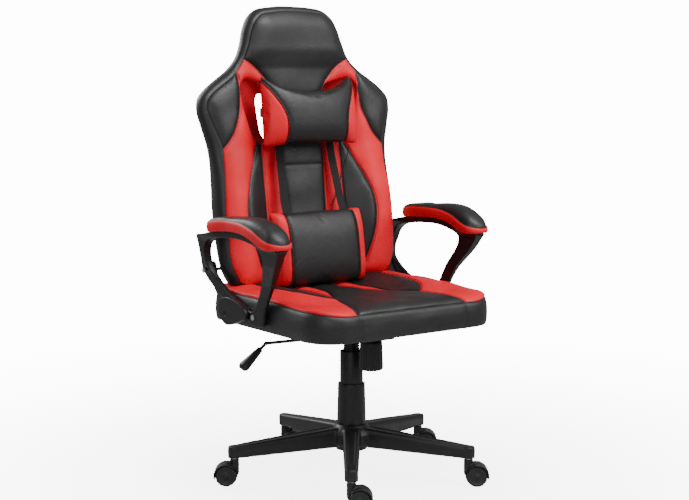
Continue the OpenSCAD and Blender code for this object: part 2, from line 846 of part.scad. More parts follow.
module lumbar_pillow() {
    color(black_leather)
        hull()
            for (s = [-1, 1], v = [-1, 1])
                translate([s * (lumbar_w / 2 - 14), mid_y(lumbar_mid + v * (lumbar_h / 2 - 26)) - 48,
                    foot_z + lumbar_mid + v * (lumbar_h / 2 - 26)])
                    scale([0.5, 1, 1]) sphere(r = 26, $fn = 24);
}

// Webbing that holds the head pillow: through both holes and across the rear
module head_strap() {
    h = head_pillow_mid;
    x = 88;
    front = mid_y(h) - 19;
    rear = mid_y(h) + rear_t + 3;
    z0 = foot_z + h - webbing_w / 2;
    color(fabric)
        union() {
            translate([-x, rear, z0]) cube([2 * x, webbing_t, webbing_w]);
            for (s = [-1, 1])
                translate([s * x - webbing_t / 2, front, z0]) cube([webbing_t, rear + webbing_t - front, webbing_w]);
        }
}

// Two bands that hang from behind the head pillow to the lumbar pillow
module lumbar_straps() {
    top_h = head_pillow_mid - head_pillow_h / 2 + 18;
    low_h = lumbar_mid + lumbar_h / 2 + 2;
    top_y = mid_y(top_h) - 15;
    low_y = mid_y(low_h) - 40;
    slope = atan2(low_y - top_y, top_h - low_h);
    color(fabric)
        for (s = [-1, 1])
            translate([s * 80, top_y, foot_z + top_h])
                rotate([slope, 0, 0])
                    rotate([0, s * -3, 0])
                        translate([-webbing_w / 2, -webbing_t, -norm([low_y - top_y, top_h - low_h])])
                            cube([webbing_w, webbing_t, norm([low_y - top_y, top_h - low_h])]);
}

// ---------- brackets and arms ----------

back_bolt = [back_foot_y + 38, foot_z + 50];
seat_bolt = [125, seat_z + 28];
arm_bolt = [8, seat_z + 33];

module bracket(s) {
    color(plastic)
        difference() {
            side_extrude(s > 0 ? bracket_x : -bracket_x - bracket_t, s > 0 ? bracket_x + bracket_t : -bracket_x)
                polygon(closed_spline([
                    [22, seat_z + 20], [150, seat_z + 14], [172, seat_z + 30], [190, seat_z + 62],
                    [back_bolt[0] + 18, back_bolt[1] - 12], [back_bolt[0] + 16, back_bolt[1] + 16],
                    [back_bolt[0] - 12, back_bolt[1] + 18], [back_bolt[0] - 22, back_bolt[1] - 8],
                    [150, seat_z + 62], [100, seat_z + 50], [24, seat_z + 48]], 3));
            bolt_holes(s, [seat_bolt, arm_bolt, back_bolt]);
        }
}

// Holes along X at the given places on one side of the chair
module bolt_holes(s, places) {
    for (p = places)
        translate([s * (bracket_x + 20), p[0], p[1]])
            rotate([0, 90, 0]) cylinder(d = bolt_d, h = 60, center = true);
}

module bracket_cover(s) {
    x0 = arm_x;
    x1 = arm_x + arm_t + 9;
    color(plastic)
        difference() {
            side_extrude(s > 0 ? x0 : -x1, s > 0 ? x1 : -x0)
                polygon(closed_spline([
                    [30, seat_z + 26], [48, seat_z + 21], [98, seat_z + 4], [122, seat_z + 2],
                    [140, seat_z + 12], [152, seat_z + 30], [150, seat_z + 56], [118, seat_z + 68],
                    [75, seat_z + 64], [45, seat_z + 53], [32, seat_z + 42]], 3));
            // hollow behind the face, which clears the arm's diagonal
            side_extrude(s > 0 ? x0 - 1 : -x0 - arm_t - 0.5, s > 0 ? x0 + arm_t + 0.5 : -x0 + 1)
                polygon([
                    [36, seat_z + 25], [100, seat_z + 8], [122, seat_z + 6], [136, seat_z + 14],
                    [147, seat_z + 32], [170, seat_z + 90], [0, seat_z + 90], [20, seat_z + 30]]);
            side_extrude(s > 0 ? x0 - 1 : -x0 - arm_t - 0.5, s > 0 ? x0 + arm_t + 0.5 : -x0 + 1)
                polygon(closed_spline(arm_outer, 3));
            // recess of the screw
            translate([s * (x1 + 6), seat_bolt[0], seat_bolt[1]])
                rotate([0, 90, 0]) cylinder(r = 5.5, h = 20, center = true);
        }
}

// Side bolts: bracket to seat
module bracket_bolts() {
    color(steel)
        for (s = [-1, 1], p = [seat_bolt])
            translate([s * (bracket_x - 22), p[0], p[1]])
                rotate([0, s * 90, 0])
                    union() {
                        cylinder(d = bolt_d, h = 22 + bracket_t + 3);
                        translate([0, 0, 22 + bracket_t]) cylinder(d = bolt_d * 1.7, h = 5);
                    }
}

// Side bolts that pass through the arm frame
module arm_bolts() {
    head = arm_x - bracket_x + arm_t;
    // the frame's outer face leans outwards at the upper bolt
    flare = 9.3;
    color(steel)
        for (s = [-1, 1]) {
            translate([s * (bracket_x - 22), arm_bolt[0], arm_bolt[1]])
                rotate([0, s * 90, 0])
                    union() {
                        cylinder(d = bolt_d, h = 22 + head + 2);
                        translate([0, 0, 22 + head]) cylinder(d = bolt_d * 1.7, h = 4);
                    }
            translate([s * (bracket_x - 30), back_bolt[0], back_bolt[1]])
                rotate([0, s * 90, 0])
                    union() {
                        cylinder(d = bolt_d, h = 30 + head + flare + 2);
                        translate([0, 0, 30 + head + flare]) cylinder(d = bolt_d * 1.7, h = 4);
                    }
        }
}

// Outer edge of the arm frame, seen from the side
arm_outer = [
    [188, pad_z - 21], [150, pad_z - 12], [90, pad_z - 4.5], [30, pad_z], [-22, pad_z - 1.5],
    [-68, pad_z - 13], [-100, pad_z - 29], [-136, pad_z - 31], [-128, pad_z - 48], [-112, pad_z - 72],
    [-72, seat_z + 115], [-40, seat_z + 62], [-30, seat_z + 20], [-10, arm_bottom], [18, arm_bottom + 1],
    [45, seat_z + 30], [80, seat_z + 43], [120, seat_z + 54], [160, seat_z + 66], [190, seat_z + 84],
    [217, seat_z + 104], [228, seat_z + 127], [217, seat_z + 165], [217, pad_z - 34], [206, pad_z - 22]];
// Edge of the window in the arm frame
arm_window = [
    [172, pad_z - 36], [140, pad_z - 28], [76, pad_z - 20], [6, pad_z - 18], [-45, pad_z - 27],
    [-66, pad_z - 44], [-62, seat_z + 165], [-33, seat_z + 118], [-10, seat_z + 78],
    [8, seat_z + 50], [30, seat_z + 45], [53, seat_z + 54],
    [101, seat_z + 69], [149, seat_z + 93], [184, seat_z + 118], [197, seat_z + 144],
    [191, pad_z - 54]];

module arm_frame(s) {
    inner = arm_x;
    pad_low = pad_reach - 24;
    pad_high = pad_reach + 22;
    color(plastic)
        difference() {
            intersection() {
                side_extrude(-400, 400)
                    difference() {
                        polygon(closed_spline(arm_outer, 3));
                        polygon(closed_spline(arm_window, 3));
                    }
                translate([0, 500, 0])
                    rotate([90, 0, 0])
                        linear_extrude(height = 1000)
                            polygon([
                                [s * inner, arm_bottom - 20], [s * (inner + arm_t), arm_bottom - 20],
                                [s * (inner + arm_t), seat_z + 86], [s * (inner + arm_t + 4), seat_z + 115],
                                [s * (pad_reach + 7), seat_z + 165], [s * (pad_reach + 14), pad_z - 36],
                                [s * pad_high, pad_z - 20], [s * pad_high, pad_z + 20],
                                [s * pad_low, pad_z + 20], [s * pad_low, pad_z - 22],
                                [s * (pad_reach - 12), pad_z - 40],
                                [s * (pad_reach - 15), seat_z + 165], [s * inner, seat_z + 118]]);
            }
            bolt_holes(s, [arm_bolt]);
            // twelve-sided hole that clears the upper bolt
            translate([s * (bracket_x + 20), back_bolt[0], back_bolt[1]])
                rotate([0, 90, 0]) cylinder(d = bolt_d / cos(15), h = 60, center = true, $fn = 12);
        }
}

// Upper edge of the pad, then its lower edge, seen from the side
pad_side = [
    [155, pad_z + 6], [148, pad_z + 19], [127, pad_z + 23], [44, pad_z + 29], [-20, pad_z + 34],
    [-55, pad_z + 34], [-92, pad_z + 24], [-124, pad_z + 8], [-146, pad_z - 10], [-146, pad_z - 24],
    [-136, pad_z - 30.5], [-100, pad_z - 28.5], [-68, pad_z - 12.5], [-22, pad_z - 1], [30, pad_z + 0.5],
    [90, pad_z - 4], [142, pad_z - 10.3], [152, pad_z - 8]];

module arm_pad(s) {
    r = pad_w / 2;
    color(red_leather)
        intersection() {
            side_extrude(-400, 400)
                difference() {
                    polygon(closed_spline(pad_side, 3));
                    polygon(closed_spline(arm_outer, 3));
                }
            linear_extrude(height = pad_z + 100)
                translate([s * pad_reach, 0])
                    union() {
                        polygon([[-r, -112], [r, -112], [r * 0.82, 140], [-r * 0.82, 140]]);
                        translate([0, -112]) circle(r = r);
                        polygon([[-r * 0.82, 140], [r * 0.82, 140], [r * 0.6, 156], [-r * 0.6, 156]]);
                    }
        }
}

base_star();
caster_stems();
caster_body(0);  // caster_body_1
caster_axle(0);  // caster_axle_1
wheel(0, 1);  // wheel_1a
wheel(0, -1);  // wheel_1b
caster_body(1);  // caster_body_2
caster_axle(1);  // caster_axle_2
wheel(1, 1);  // wheel_2a
wheel(1, -1);  // wheel_2b
caster_body(2);  // caster_body_3
caster_axle(2);  // caster_axle_3
wheel(2, 1);  // wheel_3a
wheel(2, -1);  // wheel_3b
caster_body(3);  // caster_body_4
caster_axle(3);  // caster_axle_4
wheel(3, 1);  // wheel_4a
wheel(3, -1);  // wheel_4b
caster_body(4);  // caster_body_5
caster_axle(4);  // caster_axle_5
wheel(4, 1);  // wheel_5a
wheel(4, -1);  // wheel_5b
column_tube();
tube_bushing();
thrust_bearing();
lift_clip();
piston_rod();
gas_cylinder();
release_button();
cover_lower();
cover_middle();
cover_upper();
mech_housing();
mech_plate();
tilt_pin();
tilt_spring();
tension_knob();
tension_bolt();
lever_bush();
lever_rod();
lever_handle();
seat_board();
seat_cushion();
seat_bolts();
back_frame();
back_cushion();
head_pillow();
head_strap();
lumbar_pillow();
lumbar_straps();
bracket(-1);  // bracket_left
bracket(1);  // bracket_right
bracket_cover(-1);  // bracket_cover_left
bracket_cover(1);  // bracket_cover_right
bracket_bolts();
arm_bolts();
arm_frame(-1);  // arm_frame_left
arm_frame(1);  // arm_frame_right
arm_pad(-1);  // arm_pad_left
arm_pad(1);  // arm_pad_right
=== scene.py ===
"""Gaming chair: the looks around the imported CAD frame."""
import math
import bmesh
import bpy
import numpy as np
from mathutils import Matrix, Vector
from mathutils.bvhtree import BVHTree
from mathutils.geometry import delaunay_2d_cdt


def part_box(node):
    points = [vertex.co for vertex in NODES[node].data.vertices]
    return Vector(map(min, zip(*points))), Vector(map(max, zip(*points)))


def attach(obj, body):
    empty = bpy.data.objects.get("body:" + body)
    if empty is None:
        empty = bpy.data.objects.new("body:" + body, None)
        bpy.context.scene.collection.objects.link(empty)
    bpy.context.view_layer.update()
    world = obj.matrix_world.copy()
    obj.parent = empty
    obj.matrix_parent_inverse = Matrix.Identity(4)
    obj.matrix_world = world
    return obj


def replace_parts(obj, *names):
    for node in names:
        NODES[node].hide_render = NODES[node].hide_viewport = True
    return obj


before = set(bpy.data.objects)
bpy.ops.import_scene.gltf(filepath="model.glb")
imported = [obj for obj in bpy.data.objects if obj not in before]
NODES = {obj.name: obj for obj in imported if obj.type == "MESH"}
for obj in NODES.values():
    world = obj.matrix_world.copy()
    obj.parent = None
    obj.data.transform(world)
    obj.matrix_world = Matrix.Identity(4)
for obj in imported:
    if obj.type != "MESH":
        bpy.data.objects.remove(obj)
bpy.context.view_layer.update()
SIDES = (-1, 1)

# ---------- places taken from the frame ----------
SEAT_LOW, SEAT_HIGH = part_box("seat_cushion")
BACK_LOW, BACK_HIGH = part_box("back_cushion")
FOOT_Z = BACK_LOW.z
LEAN = math.tan(math.radians(8))
FOOT_Y = 0.175


# ---------- numbers and curves ----------
def ramp(low, high, x):
    """Smooth step from 0 at low to 1 at high."""
    t = np.clip((np.asarray(x, float) - low) / (high - low), 0, 1)
    return t * t * (3 - 2 * t)


def spline(points, step, closed=False):
    """A smooth curve through 2D or 3D points, sampled about every step."""
    p = np.array(points, float)
    if closed:
        p = np.vstack([p[-2:], p, p[:3]])
    else:
        p = np.vstack([2 * p[0] - p[1], p, 2 * p[-1] - p[-2]])
    gap = np.maximum(np.linalg.norm(np.diff(p, axis=0), axis=1), 1e-9)
    slope = np.diff(p, axis=0) / gap[:, None]
    w0, w1 = gap[:-1, None], gap[1:, None]
    tangent = (slope[:-1] * w1 + slope[1:] * w0) / (w0 + w1)
    out = []
    first, last = (1, len(p) - 4) if closed else (0, len(p) - 3)
    for i in range(first, last):
        a, b, length = p[i + 1], p[i + 2], gap[i + 1]
        count = max(1, round(length / step))
        for t in np.arange(count) / count:
            h00, h10 = (1 + 2 * t) * (1 - t) ** 2, t * (1 - t) ** 2
            h01, h11 = t * t * (3 - 2 * t), t * t * (t - 1)
            out.append(h00 * a + h10 * length * tangent[i]
                       + h01 * b + h11 * length * tangent[i + 1])
    if not closed:
        out.append(p[-2])
    return np.array(out)


def mirrored(curve):
    return np.array(curve) * ([-1] + [1] * (np.array(curve).shape[1] - 1))


def left_of(line):
    """Unit normals of an open 2D line, to its left."""
    ahead = np.gradient(line, axis=0)
    return np.stack([-ahead[:, 1], ahead[:, 0]], 1) / np.linalg.norm(ahead, axis=1)[:, None]


def nearest(points, place):
    """Index of the point that lies nearest to a place."""
    return np.argmin(np.linalg.norm(points - place, axis=1))


def bell(d, width):
    return np.exp(-(d / width) ** 2)


def normals_2d(loop):
    """Inward unit normals of a closed loop."""
    ahead = np.roll(loop, -1, 0) - np.roll(loop, 1, 0)
    n = np.stack([-ahead[:, 1], ahead[:, 0]], 1)
    n /= np.linalg.norm(n, axis=1)[:, None]
    area = np.sum(loop[:, 0] * np.roll(loop[:, 1], -1) - np.roll(loop[:, 0], -1) * loop[:, 1])
    return n if area > 0 else -n


def distance(points, curve, closed=False):
    """Distance of each 2D or 3D point from a polyline."""
    points, curve = np.asarray(points, float), np.asarray(curve, float)
    ends = np.roll(curve, -1, 0) if closed else curve[1:]
    starts = curve if closed else curve[:-1]
    best = np.full(len(points), 1e9)
    for a, b in zip(starts, ends):
        ab = b - a
        t = np.clip(((points - a) @ ab) / max(ab @ ab, 1e-12), 0, 1)
        best = np.minimum(best, np.linalg.norm(points - a - t[:, None] * ab, axis=1))
    return best


def inside(points, loop):
    """Which 2D points lie inside a closed loop."""
    x, y = np.asarray(points, float).T
    hit = np.zeros(len(x), bool)
    for (x0, y0), (x1, y1) in zip(loop, np.roll(loop, -1, 0)):
        if y0 != y1:
            cross = ((y0 > y) != (y1 > y)) & (x < (x1 - x0) * (y - y0) / (y1 - y0) + x0)
            hit ^= cross
    return hit


# ---------- meshes ----------
# A direction that no tube follows, to start its section from
TUBE_START = (0.31, 0.17, 0.93)
# Rows of vertices beside each seam and border, and how near another line they may come
SEAM_ROWS = (0.0022, 0.0048)
SEAM_GAP = 0.0018
# Height of a row of even triangles over their side
HEX_ROW = 0.866
# The triangulation works on larger numbers, to keep its tolerance small
CDT_SCALE = 100.0


def link(name, mesh, material, body):
    mesh.polygons.foreach_set("use_smooth", [True] * len(mesh.polygons))
    mesh.update()
    obj = bpy.data.objects.new(name, mesh)
    bpy.context.scene.collection.objects.link(obj)
    mesh.materials.clear()
    mesh.materials.append(material)
    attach(obj, body)
    return obj


def new_mesh(name, verts, faces):
    mesh = bpy.data.meshes.new(name)
    mesh.from_pydata([tuple(map(float, v)) for v in verts], [], [tuple(map(int, f)) for f in faces])
    return mesh


def build(name, verts, faces, material, body):
    return link(name, new_mesh(name, verts, faces), material, body)


class Shape:
    """Vertices and faces gathered from several pieces."""

    def __init__(self):
        self.verts, self.faces = [], []

    def add(self, verts, faces):
        start = len(self.verts)
        self.verts.extend(np.asarray(verts, float).reshape(-1, 3).tolist())
        self.faces.extend([tuple(int(i) + start for i in f) for f in faces])
        return self

    def build(self, name, material, body, slot):
        return build(name, self.verts, self.faces, material, body)


def grid_faces(rows, columns, wrap_rows=False, wrap_columns=False, flip=False):
    """Quads of a grid of vertices, row by row."""
    faces = []
    for i in range(rows if wrap_rows else rows - 1):
        for j in range(columns if wrap_columns else columns - 1):
            a, b = i * columns + j, i * columns + (j + 1) % columns
            c, d = ((i + 1) % rows) * columns + (j + 1) % columns, ((i + 1) % rows) * columns + j
            faces.append((a, d, c, b) if flip else (a, b, c, d))
    return faces


def end_caps(rows, columns):
    """The two faces that close a grid wrapped into a tube."""
    return [tuple(range(columns - 1, -1, -1)), tuple((rows - 1) * columns + k for k in range(columns))]


def tube(path, radius, sides=8, closed=False):
    """A round tube along a 3D path, with closed ends."""
    path = np.array(path, float)
    ahead = np.roll(path, -1, 0) - np.roll(path, 1, 0)
    if not closed:
        ahead[0], ahead[-1] = path[1] - path[0], path[-1] - path[-2]
    ahead /= np.maximum(np.linalg.norm(ahead, axis=1), 1e-12)[:, None]
    side = np.array(TUBE_START)
    verts = []
    for p, t in zip(path, ahead):
        side = side - t * (side @ t)
        side /= max(np.linalg.norm(side), 1e-9)
        other = np.cross(t, side)
        for k in range(sides):
            a = 2 * math.pi * k / sides
            verts.append(p + radius * (math.cos(a) * side + math.sin(a) * other))
    faces = grid_faces(len(path), sides, closed, True)
    if not closed:
        faces += end_caps(len(path), sides)
    return verts, faces


def patch(border, holes, seams, spacing):
    """Triangles over a flat region, with edges along its border, holes and seams."""
    lines = [(border, True)] + [(h, True) for h in holes] + [(s, False) for s in seams]
    points, edges = [], []
    for line, closed in lines:
        start, count = len(points), len(line)
        points.extend(line.tolist())
        edges += [(start + i, start + (i + 1) % count) for i in range(count if closed else count - 1)]
    fixed = np.array(points)
    low, high = border.min(0), border.max(0)
    rows = [np.empty((0, 2))]
    for line, _ in lines:
        n = left_of(line)
        for offset in SEAM_ROWS:
            rows += [line + n * offset, line - n * offset]
    near = np.vstack(rows)
    xs = np.arange(low[0], high[0], spacing)
    ys = np.arange(low[1], high[1], spacing * HEX_ROW)
    gx, gy = np.meshgrid(xs, ys)
    gx = gx + (np.arange(len(ys)) % 2)[:, None] * spacing / 2
    hexes = np.stack([gx.ravel(), gy.ravel()], 1)

    def covered(places):
        keep = inside(places, border)
        for h in holes:
            keep &= ~inside(places, h)
        return keep

    def clear(candidates, least):
        candidates = candidates[covered(candidates)]
        far = np.full(len(candidates), 1e9)
        for line, closed in lines:
            far = np.minimum(far, distance(candidates, line, closed))
        return candidates[far > least]

    near = clear(near, SEAM_GAP)
    grid = clear(hexes, SEAM_ROWS[-1] + spacing * 0.45)
    every = np.vstack([fixed, near, grid])
    verts, _, faces, _, _, _ = delaunay_2d_cdt([Vector(p * CDT_SCALE) for p in every], edges, [], 0, 1e-4)
    flat = np.array([v[:] for v in verts]) / CDT_SCALE
    faces = np.array([f for f in faces if len(f) == 3])
    middle = flat[faces].mean(1)
    keep = covered(middle)
    return flat, faces[keep], middle[keep]


def split(verts, faces, normals, tuck):
    """The used vertices of some faces, with a flange tucked in along every free edge."""
    used, faces = np.unique(faces, return_inverse=True)
    faces = faces.reshape(-1, 3)
    verts, normals = verts[used], normals[used]
    count = {}
    for f in faces:
        for a, b in ((f[0], f[1]), (f[1], f[2]), (f[2], f[0])):
            count[(a, b)] = count.get((a, b), 0) + 1
    free = [(a, b) for (a, b) in count if (b, a) not in count]
    under, extra = {}, []
    for a, b in free:
        for v in (a, b):
            if v not in under:
                under[v] = len(verts) + len(extra)
                extra.append(verts[v] - normals[v] * tuck)
    flange = [(b, a, under[a], under[b]) for a, b in free]
    if extra:
        verts = np.vstack([verts, extra])
    return verts, [tuple(f) for f in faces] + flange


def surface_normals(surface, flat):
    """Unit normals of a surface given over the plane."""
    step = 0.0005
    du = surface(flat + [step, 0]) - surface(flat - [step, 0])
    dv = surface(flat + [0, step]) - surface(flat - [0, step])
    n = np.cross(du, dv)
    return n / np.maximum(np.linalg.norm(n, axis=1), 1e-12)[:, None]


# ---------- materials ----------
class Nodes:
    """A node material under construction."""

    def __init__(self, name):
        self.material = bpy.data.materials.new(name)
        self.material.use_nodes = True
        self.tree = self.material.node_tree
        self.tree.nodes.clear()
        self.out = self.node("ShaderNodeOutputMaterial")
        self.shader = self.node("ShaderNodeBsdfPrincipled")
        self.wire(self.shader.outputs[0], self.out.inputs["Surface"])
        self.place = self.node("ShaderNodeTexCoord").outputs["Object"]

    def node(self, kind, **settings):
        made = self.tree.nodes.new(kind)
        for key, value in settings.items():
            setattr(made, key, value)
        return made

    def wire(self, source, target):
        self.tree.links.new(source, target)

    def noise(self, scale, detail=3.0, roughness=0.5):
        n = self.node("ShaderNodeTexNoise")
        n.inputs["Scale"].default_value = scale
        n.inputs["Detail"].default_value = detail
        n.inputs["Roughness"].default_value = roughness
        self.wire(self.place, n.inputs["Vector"])
        return n.outputs["Fac"]

    def cells(self, scale):
        n = self.node("ShaderNodeTexVoronoi", feature="DISTANCE_TO_EDGE")
        n.inputs["Scale"].default_value = scale
        self.wire(self.place, n.inputs["Vector"])
        return n.outputs["Distance"]

    def wave(self, scale, direction, distortion=0.0):
        n = self.node("ShaderNodeTexWave", bands_direction=direction)
        n.inputs["Scale"].default_value = scale
        n.inputs["Distortion"].default_value = distortion
        self.wire(self.place, n.inputs["Vector"])
        return n.outputs["Fac"]

    def stretch(self, source, low, high, to_low, to_high):
        n = self.node("ShaderNodeMapRange")
        for key, value in zip(("From Min", "From Max", "To Min", "To Max"), (low, high, to_low, to_high)):
            n.inputs[key].default_value = value
        self.wire(source, n.inputs["Value"])
        return n.outputs["Result"]

    def blotches(self, scale, detail, roughness, low=0.0, high=1.0):
        """Noise whose usual range is stretched to low and high."""
        return self.stretch(self.noise(scale, detail, roughness), 0.3, 0.7, low, high)

    def sum(self, a, b, kind="ADD"):
        n = self.node("ShaderNodeMath", operation=kind)
        self.wire(a, n.inputs[0])
        if isinstance(b, float):
            n.inputs[1].default_value = b
        else:
            self.wire(b, n.inputs[1])
        return n.outputs[0]

    def colour(self, factor, stops):
        n = self.node("ShaderNodeValToRGB")
        elements = n.color_ramp.elements
        while len(elements) < len(stops):
            elements.new(0.5)
        for element, (place, rgb) in zip(elements, stops):
            element.position = place
            element.color = (*rgb, 1)
        self.wire(factor, n.inputs["Fac"])
        self.wire(n.outputs["Color"], self.shader.inputs["Base Color"])

    def rough(self, source):
        self.wire(source, self.shader.inputs["Roughness"])

    def bump(self, height, depth, strength=1.0, onto=None):
        n = self.node("ShaderNodeBump")
        n.inputs["Strength"].default_value = strength
        n.inputs["Distance"].default_value = depth
        self.wire(height, n.inputs["Height"])
        if onto is not None:
            self.wire(onto, n.inputs["Normal"])
        self.wire(n.outputs["Normal"], self.shader.inputs["Normal"])
        return n.outputs["Normal"]

    def set(self, **values):
        for key, value in values.items():
            self.shader.inputs[key.replace("_", " ")].default_value = value


def leather(name, dark, light, worn, roughness, gloss=0.42):
    """Coated leather: pebble grain, fine creases, uneven gloss and blotchy tone up to a lighter worn shade.
    """
    m = Nodes(name)
    m.colour(m.blotches(9.0, 4.0, 0.55), [(0.0, dark), (0.72, light), (1.0, worn)])
    m.rough(m.blotches(42.0, 5.0, 0.6, roughness - 0.045, roughness + 0.055))
    grain = m.stretch(m.cells(820.0), 0.0, 0.32, 0.0, 1.0)
    creases = m.bump(m.noise(70.0, 6.0, 0.62), 0.0011, 0.28)
    m.bump(grain, 0.00016, 0.34, creases)
    m.set(IOR=1.5, Coat_Weight=0.05, Coat_Roughness=0.36, Specular_IOR_Level=gloss)
    return m.material


def plastic(name, dark, light, roughness, grain=1500.0, depth=0.00008):
    """Moulded plastic with a spark-eroded texture and faint flow marks."""
    m = Nodes(name)
    m.colour(m.blotches(14.0, 3.0, 0.5), [(0.0, dark), (1.0, light)])
    m.rough(m.blotches(60.0, 4.0, 0.6, roughness - 0.05, roughness + 0.07))
    m.bump(m.noise(grain, 2.0, 0.7), depth, 0.5)
    m.set(IOR=1.49, Specular_IOR_Level=0.36)
    return m.material


def metal(name, dark, light, roughness, metallic=1.0):
    """Metal with fine drawn lines and uneven polish."""
    m = Nodes(name)
    m.colour(m.blotches(30.0, 4.0, 0.6), [(0.0, dark), (1.0, light)])
    m.rough(m.blotches(240.0, 3.0, 0.6, roughness - 0.06, roughness + 0.09))
    m.bump(m.wave(900.0, "Z", 1.5), 0.00003, 0.3)
    m.set(Metallic=metallic, IOR=1.5)
    return m.material


def woven(name, dark, light):
    """Webbing: a twill of warp ribs crossed by fine weft."""
    m = Nodes(name)
    ribs = m.sum(m.wave(420.0, "X", 0.4), m.wave(520.0, "Z", 0.4), "MULTIPLY")
    m.colour(m.stretch(ribs, 0.0, 0.6, 0.0, 1.0), [(0.0, dark), (1.0, light)])
    m.rough(m.blotches(300.0, 3.0, 0.6, 0.72, 0.9))
    m.bump(ribs, 0.0004, 0.9)
    m.set(Sheen_Weight=0.08, Sheen_Roughness=0.5, Specular_IOR_Level=0.3)
    return m.material


def wood(name):
    """Plywood: light veneer with edge plies and drawn-out grain."""
    m = Nodes(name)
    plies = m.wave(240.0, "Z", 0.6)
    grain = m.noise(60.0, 6.0, 0.6)
    both = m.sum(m.sum(plies, 0.35, "MULTIPLY"), m.sum(grain, 0.65, "MULTIPLY"))
    m.colour(both, [(0.2, (0.36, 0.23, 0.12)), (0.8, (0.62, 0.45, 0.27))])
    m.rough(m.stretch(grain, 0.2, 0.8, 0.6, 0.8))
    m.bump(both, 0.0002, 0.6)
    return m.material


BLACK = leather("black_leather", (0.0045, 0.0045, 0.0047), (0.0075, 0.0075, 0.0078),
                (0.011, 0.011, 0.0115), 0.47)
RED = leather("red_leather", (0.56, 0.001, 0.010), (0.68, 0.002, 0.014), (0.74, 0.005, 0.020), 0.50, 0.22)
# A darker copy of the red leather, used only for the shoulder-hole linings: painted shade inside the holes.
SHADED_RED = leather("red_leather_painted_shade", (0.30, 0.003, 0.008), (0.38, 0.004, 0.011),
                   (0.44, 0.007, 0.014), 0.52, 0.2)
PIPING = leather("piping_leather", (0.006, 0.006, 0.006), (0.010, 0.010, 0.010),
                 (0.014, 0.014, 0.014), 0.5)
THREAD = woven("sewing_thread", (0.010, 0.010, 0.010), (0.03, 0.03, 0.03))
WEBBING = woven("polyester_webbing", (0.003, 0.003, 0.003), (0.010, 0.010, 0.0105))
PLASTIC = plastic("satin_black_plastic", (0.0035, 0.0035, 0.0036), (0.006, 0.006, 0.0062), 0.40)
NYLON_BASE = plastic("nylon_base_plastic", (0.004, 0.004, 0.0041), (0.0065, 0.0065, 0.0067),
                     0.42, 1100.0, 0.0001)
WHEEL = plastic("wheel_nylon", (0.006, 0.006, 0.006), (0.010, 0.010, 0.010), 0.45)
PALE_NYLON = plastic("bearing_nylon", (0.55, 0.54, 0.50), (0.66, 0.65, 0.61), 0.45)
PAINTED = metal("powder_coated_steel", (0.005, 0.005, 0.005), (0.009, 0.009, 0.009), 0.46, 0.0)
STEEL = metal("zinc_steel", (0.42, 0.42, 0.43), (0.56, 0.56, 0.57), 0.34)
CHROME = metal("chrome", (0.62, 0.62, 0.63), (0.72, 0.72, 0.73), 0.12)
PLYWOOD = wood("plywood")


# ---------- backrest ----------
# Right half of the outline as (distance from the middle, height above the foot)
BACK_OUTLINE = [
    (0.10, 0.0), (0.19, 0.0), (0.229, 0.010), (0.247, 0.040), (0.257, 0.085), (0.260, 0.13),
    (0.262, 0.18), (0.2595, 0.25), (0.258, 0.305), (0.263, 0.350), (0.2745, 0.393),
    (0.2835, 0.433), (0.279, 0.462), (0.258, 0.485), (0.229, 0.505), (0.195, 0.527),
    (0.166, 0.557), (0.149, 0.595), (0.137, 0.632), (0.121, 0.660), (0.098, 0.677), (0.055, 0.6845)]
right_half = spline(BACK_OUTLINE, 0.006)
OUTLINE = np.vstack([[(0.0, 0.0)], right_half, [(0.0, 0.686)], mirrored(right_half[::-1])])
OUTLINE = spline(OUTLINE[::2], 0.006, closed=True)
OUTLINE_IN = normals_2d(OUTLINE)

# Thickness in front of the middle plane, of the bolsters and of the middle, and behind it
BOLSTER = ([0, 0.15, 0.23, 0.34, 0.433, 0.56, 0.645, 0.69],
           [0.046, 0.046, 0.043, 0.031, 0.029, 0.029, 0.031, 0.028])
MIDDLE = ([0, 0.23, 0.34, 0.433, 0.535, 0.58, 0.645, 0.69],
          [0.014, 0.011, 0.009, 0.010, 0.014, 0.027, 0.032, 0.029])
REAR = ([0, 0.03, 0.3, 0.433, 0.56, 0.645, 0.69], [0.032, 0.038, 0.038, 0.034, 0.030, 0.026, 0.022])
# Width of the side band that shows in front, by height
BAND_INSET = ([0, 0.08, 0.14, 0.23, 0.29, 0.345, 0.39, 0.433, 0.52],
              [0.013, 0.0105, 0.0105, 0.013, 0.016, 0.022, 0.016, 0.012, 0.011])
# Padding between seams: crown, how fast it rises, depth of the groove and its width
BACK_QUILT = (0.0052, 0.016, 0.0034, 0.0034)
REAR_QUILT = (0.003, 0.018, 0.0024, 0.003)
SEAT_QUILT = (0.0045, 0.018, 0.0032, 0.0034)
STITCH_GAP = 0.0048
STITCH_PITCH = 0.0055
STITCH_RADIUS = 0.00042
TUCK = 0.005
CROSS_H, HEAD_LOW_H = 0.2955, 0.468
EDGE_ROUND = 0.055
HOLE_ROUND = 0.010


def middle_y(h):
    return FOOT_Y + h * LEAN


def edge_round(points, width=EDGE_ROUND):
    """From 0 on the outline to 1 where the surface is flat."""
    t = np.clip(distance(points, OUTLINE, True) / width, 0, 1)
    return (1 - (1 - t) ** 2.6) ** 0.45


def back_front(points):
    x, h = np.abs(points[:, 0]), points[:, 1]
    side = ramp(0.122, 0.196, x)
    thick = np.interp(h, *MIDDLE) * (1 - side) + np.interp(h, *BOLSTER) * side
    channel = ramp(0.058, 0.078, x) * (1 - ramp(0.098, 0.126, x)) * (1 - ramp(0.36, 0.44, h))
    y = middle_y(h) - thick * edge_round(points) + 0.007 * channel
    return np.stack([points[:, 0], y, FOOT_Z + h], 1)


def back_rear(points):
    h = points[:, 1]
    y = middle_y(h) + np.interp(h, *REAR) * edge_round(points)
    return np.stack([points[:, 0], y, FOOT_Z + h], 1)


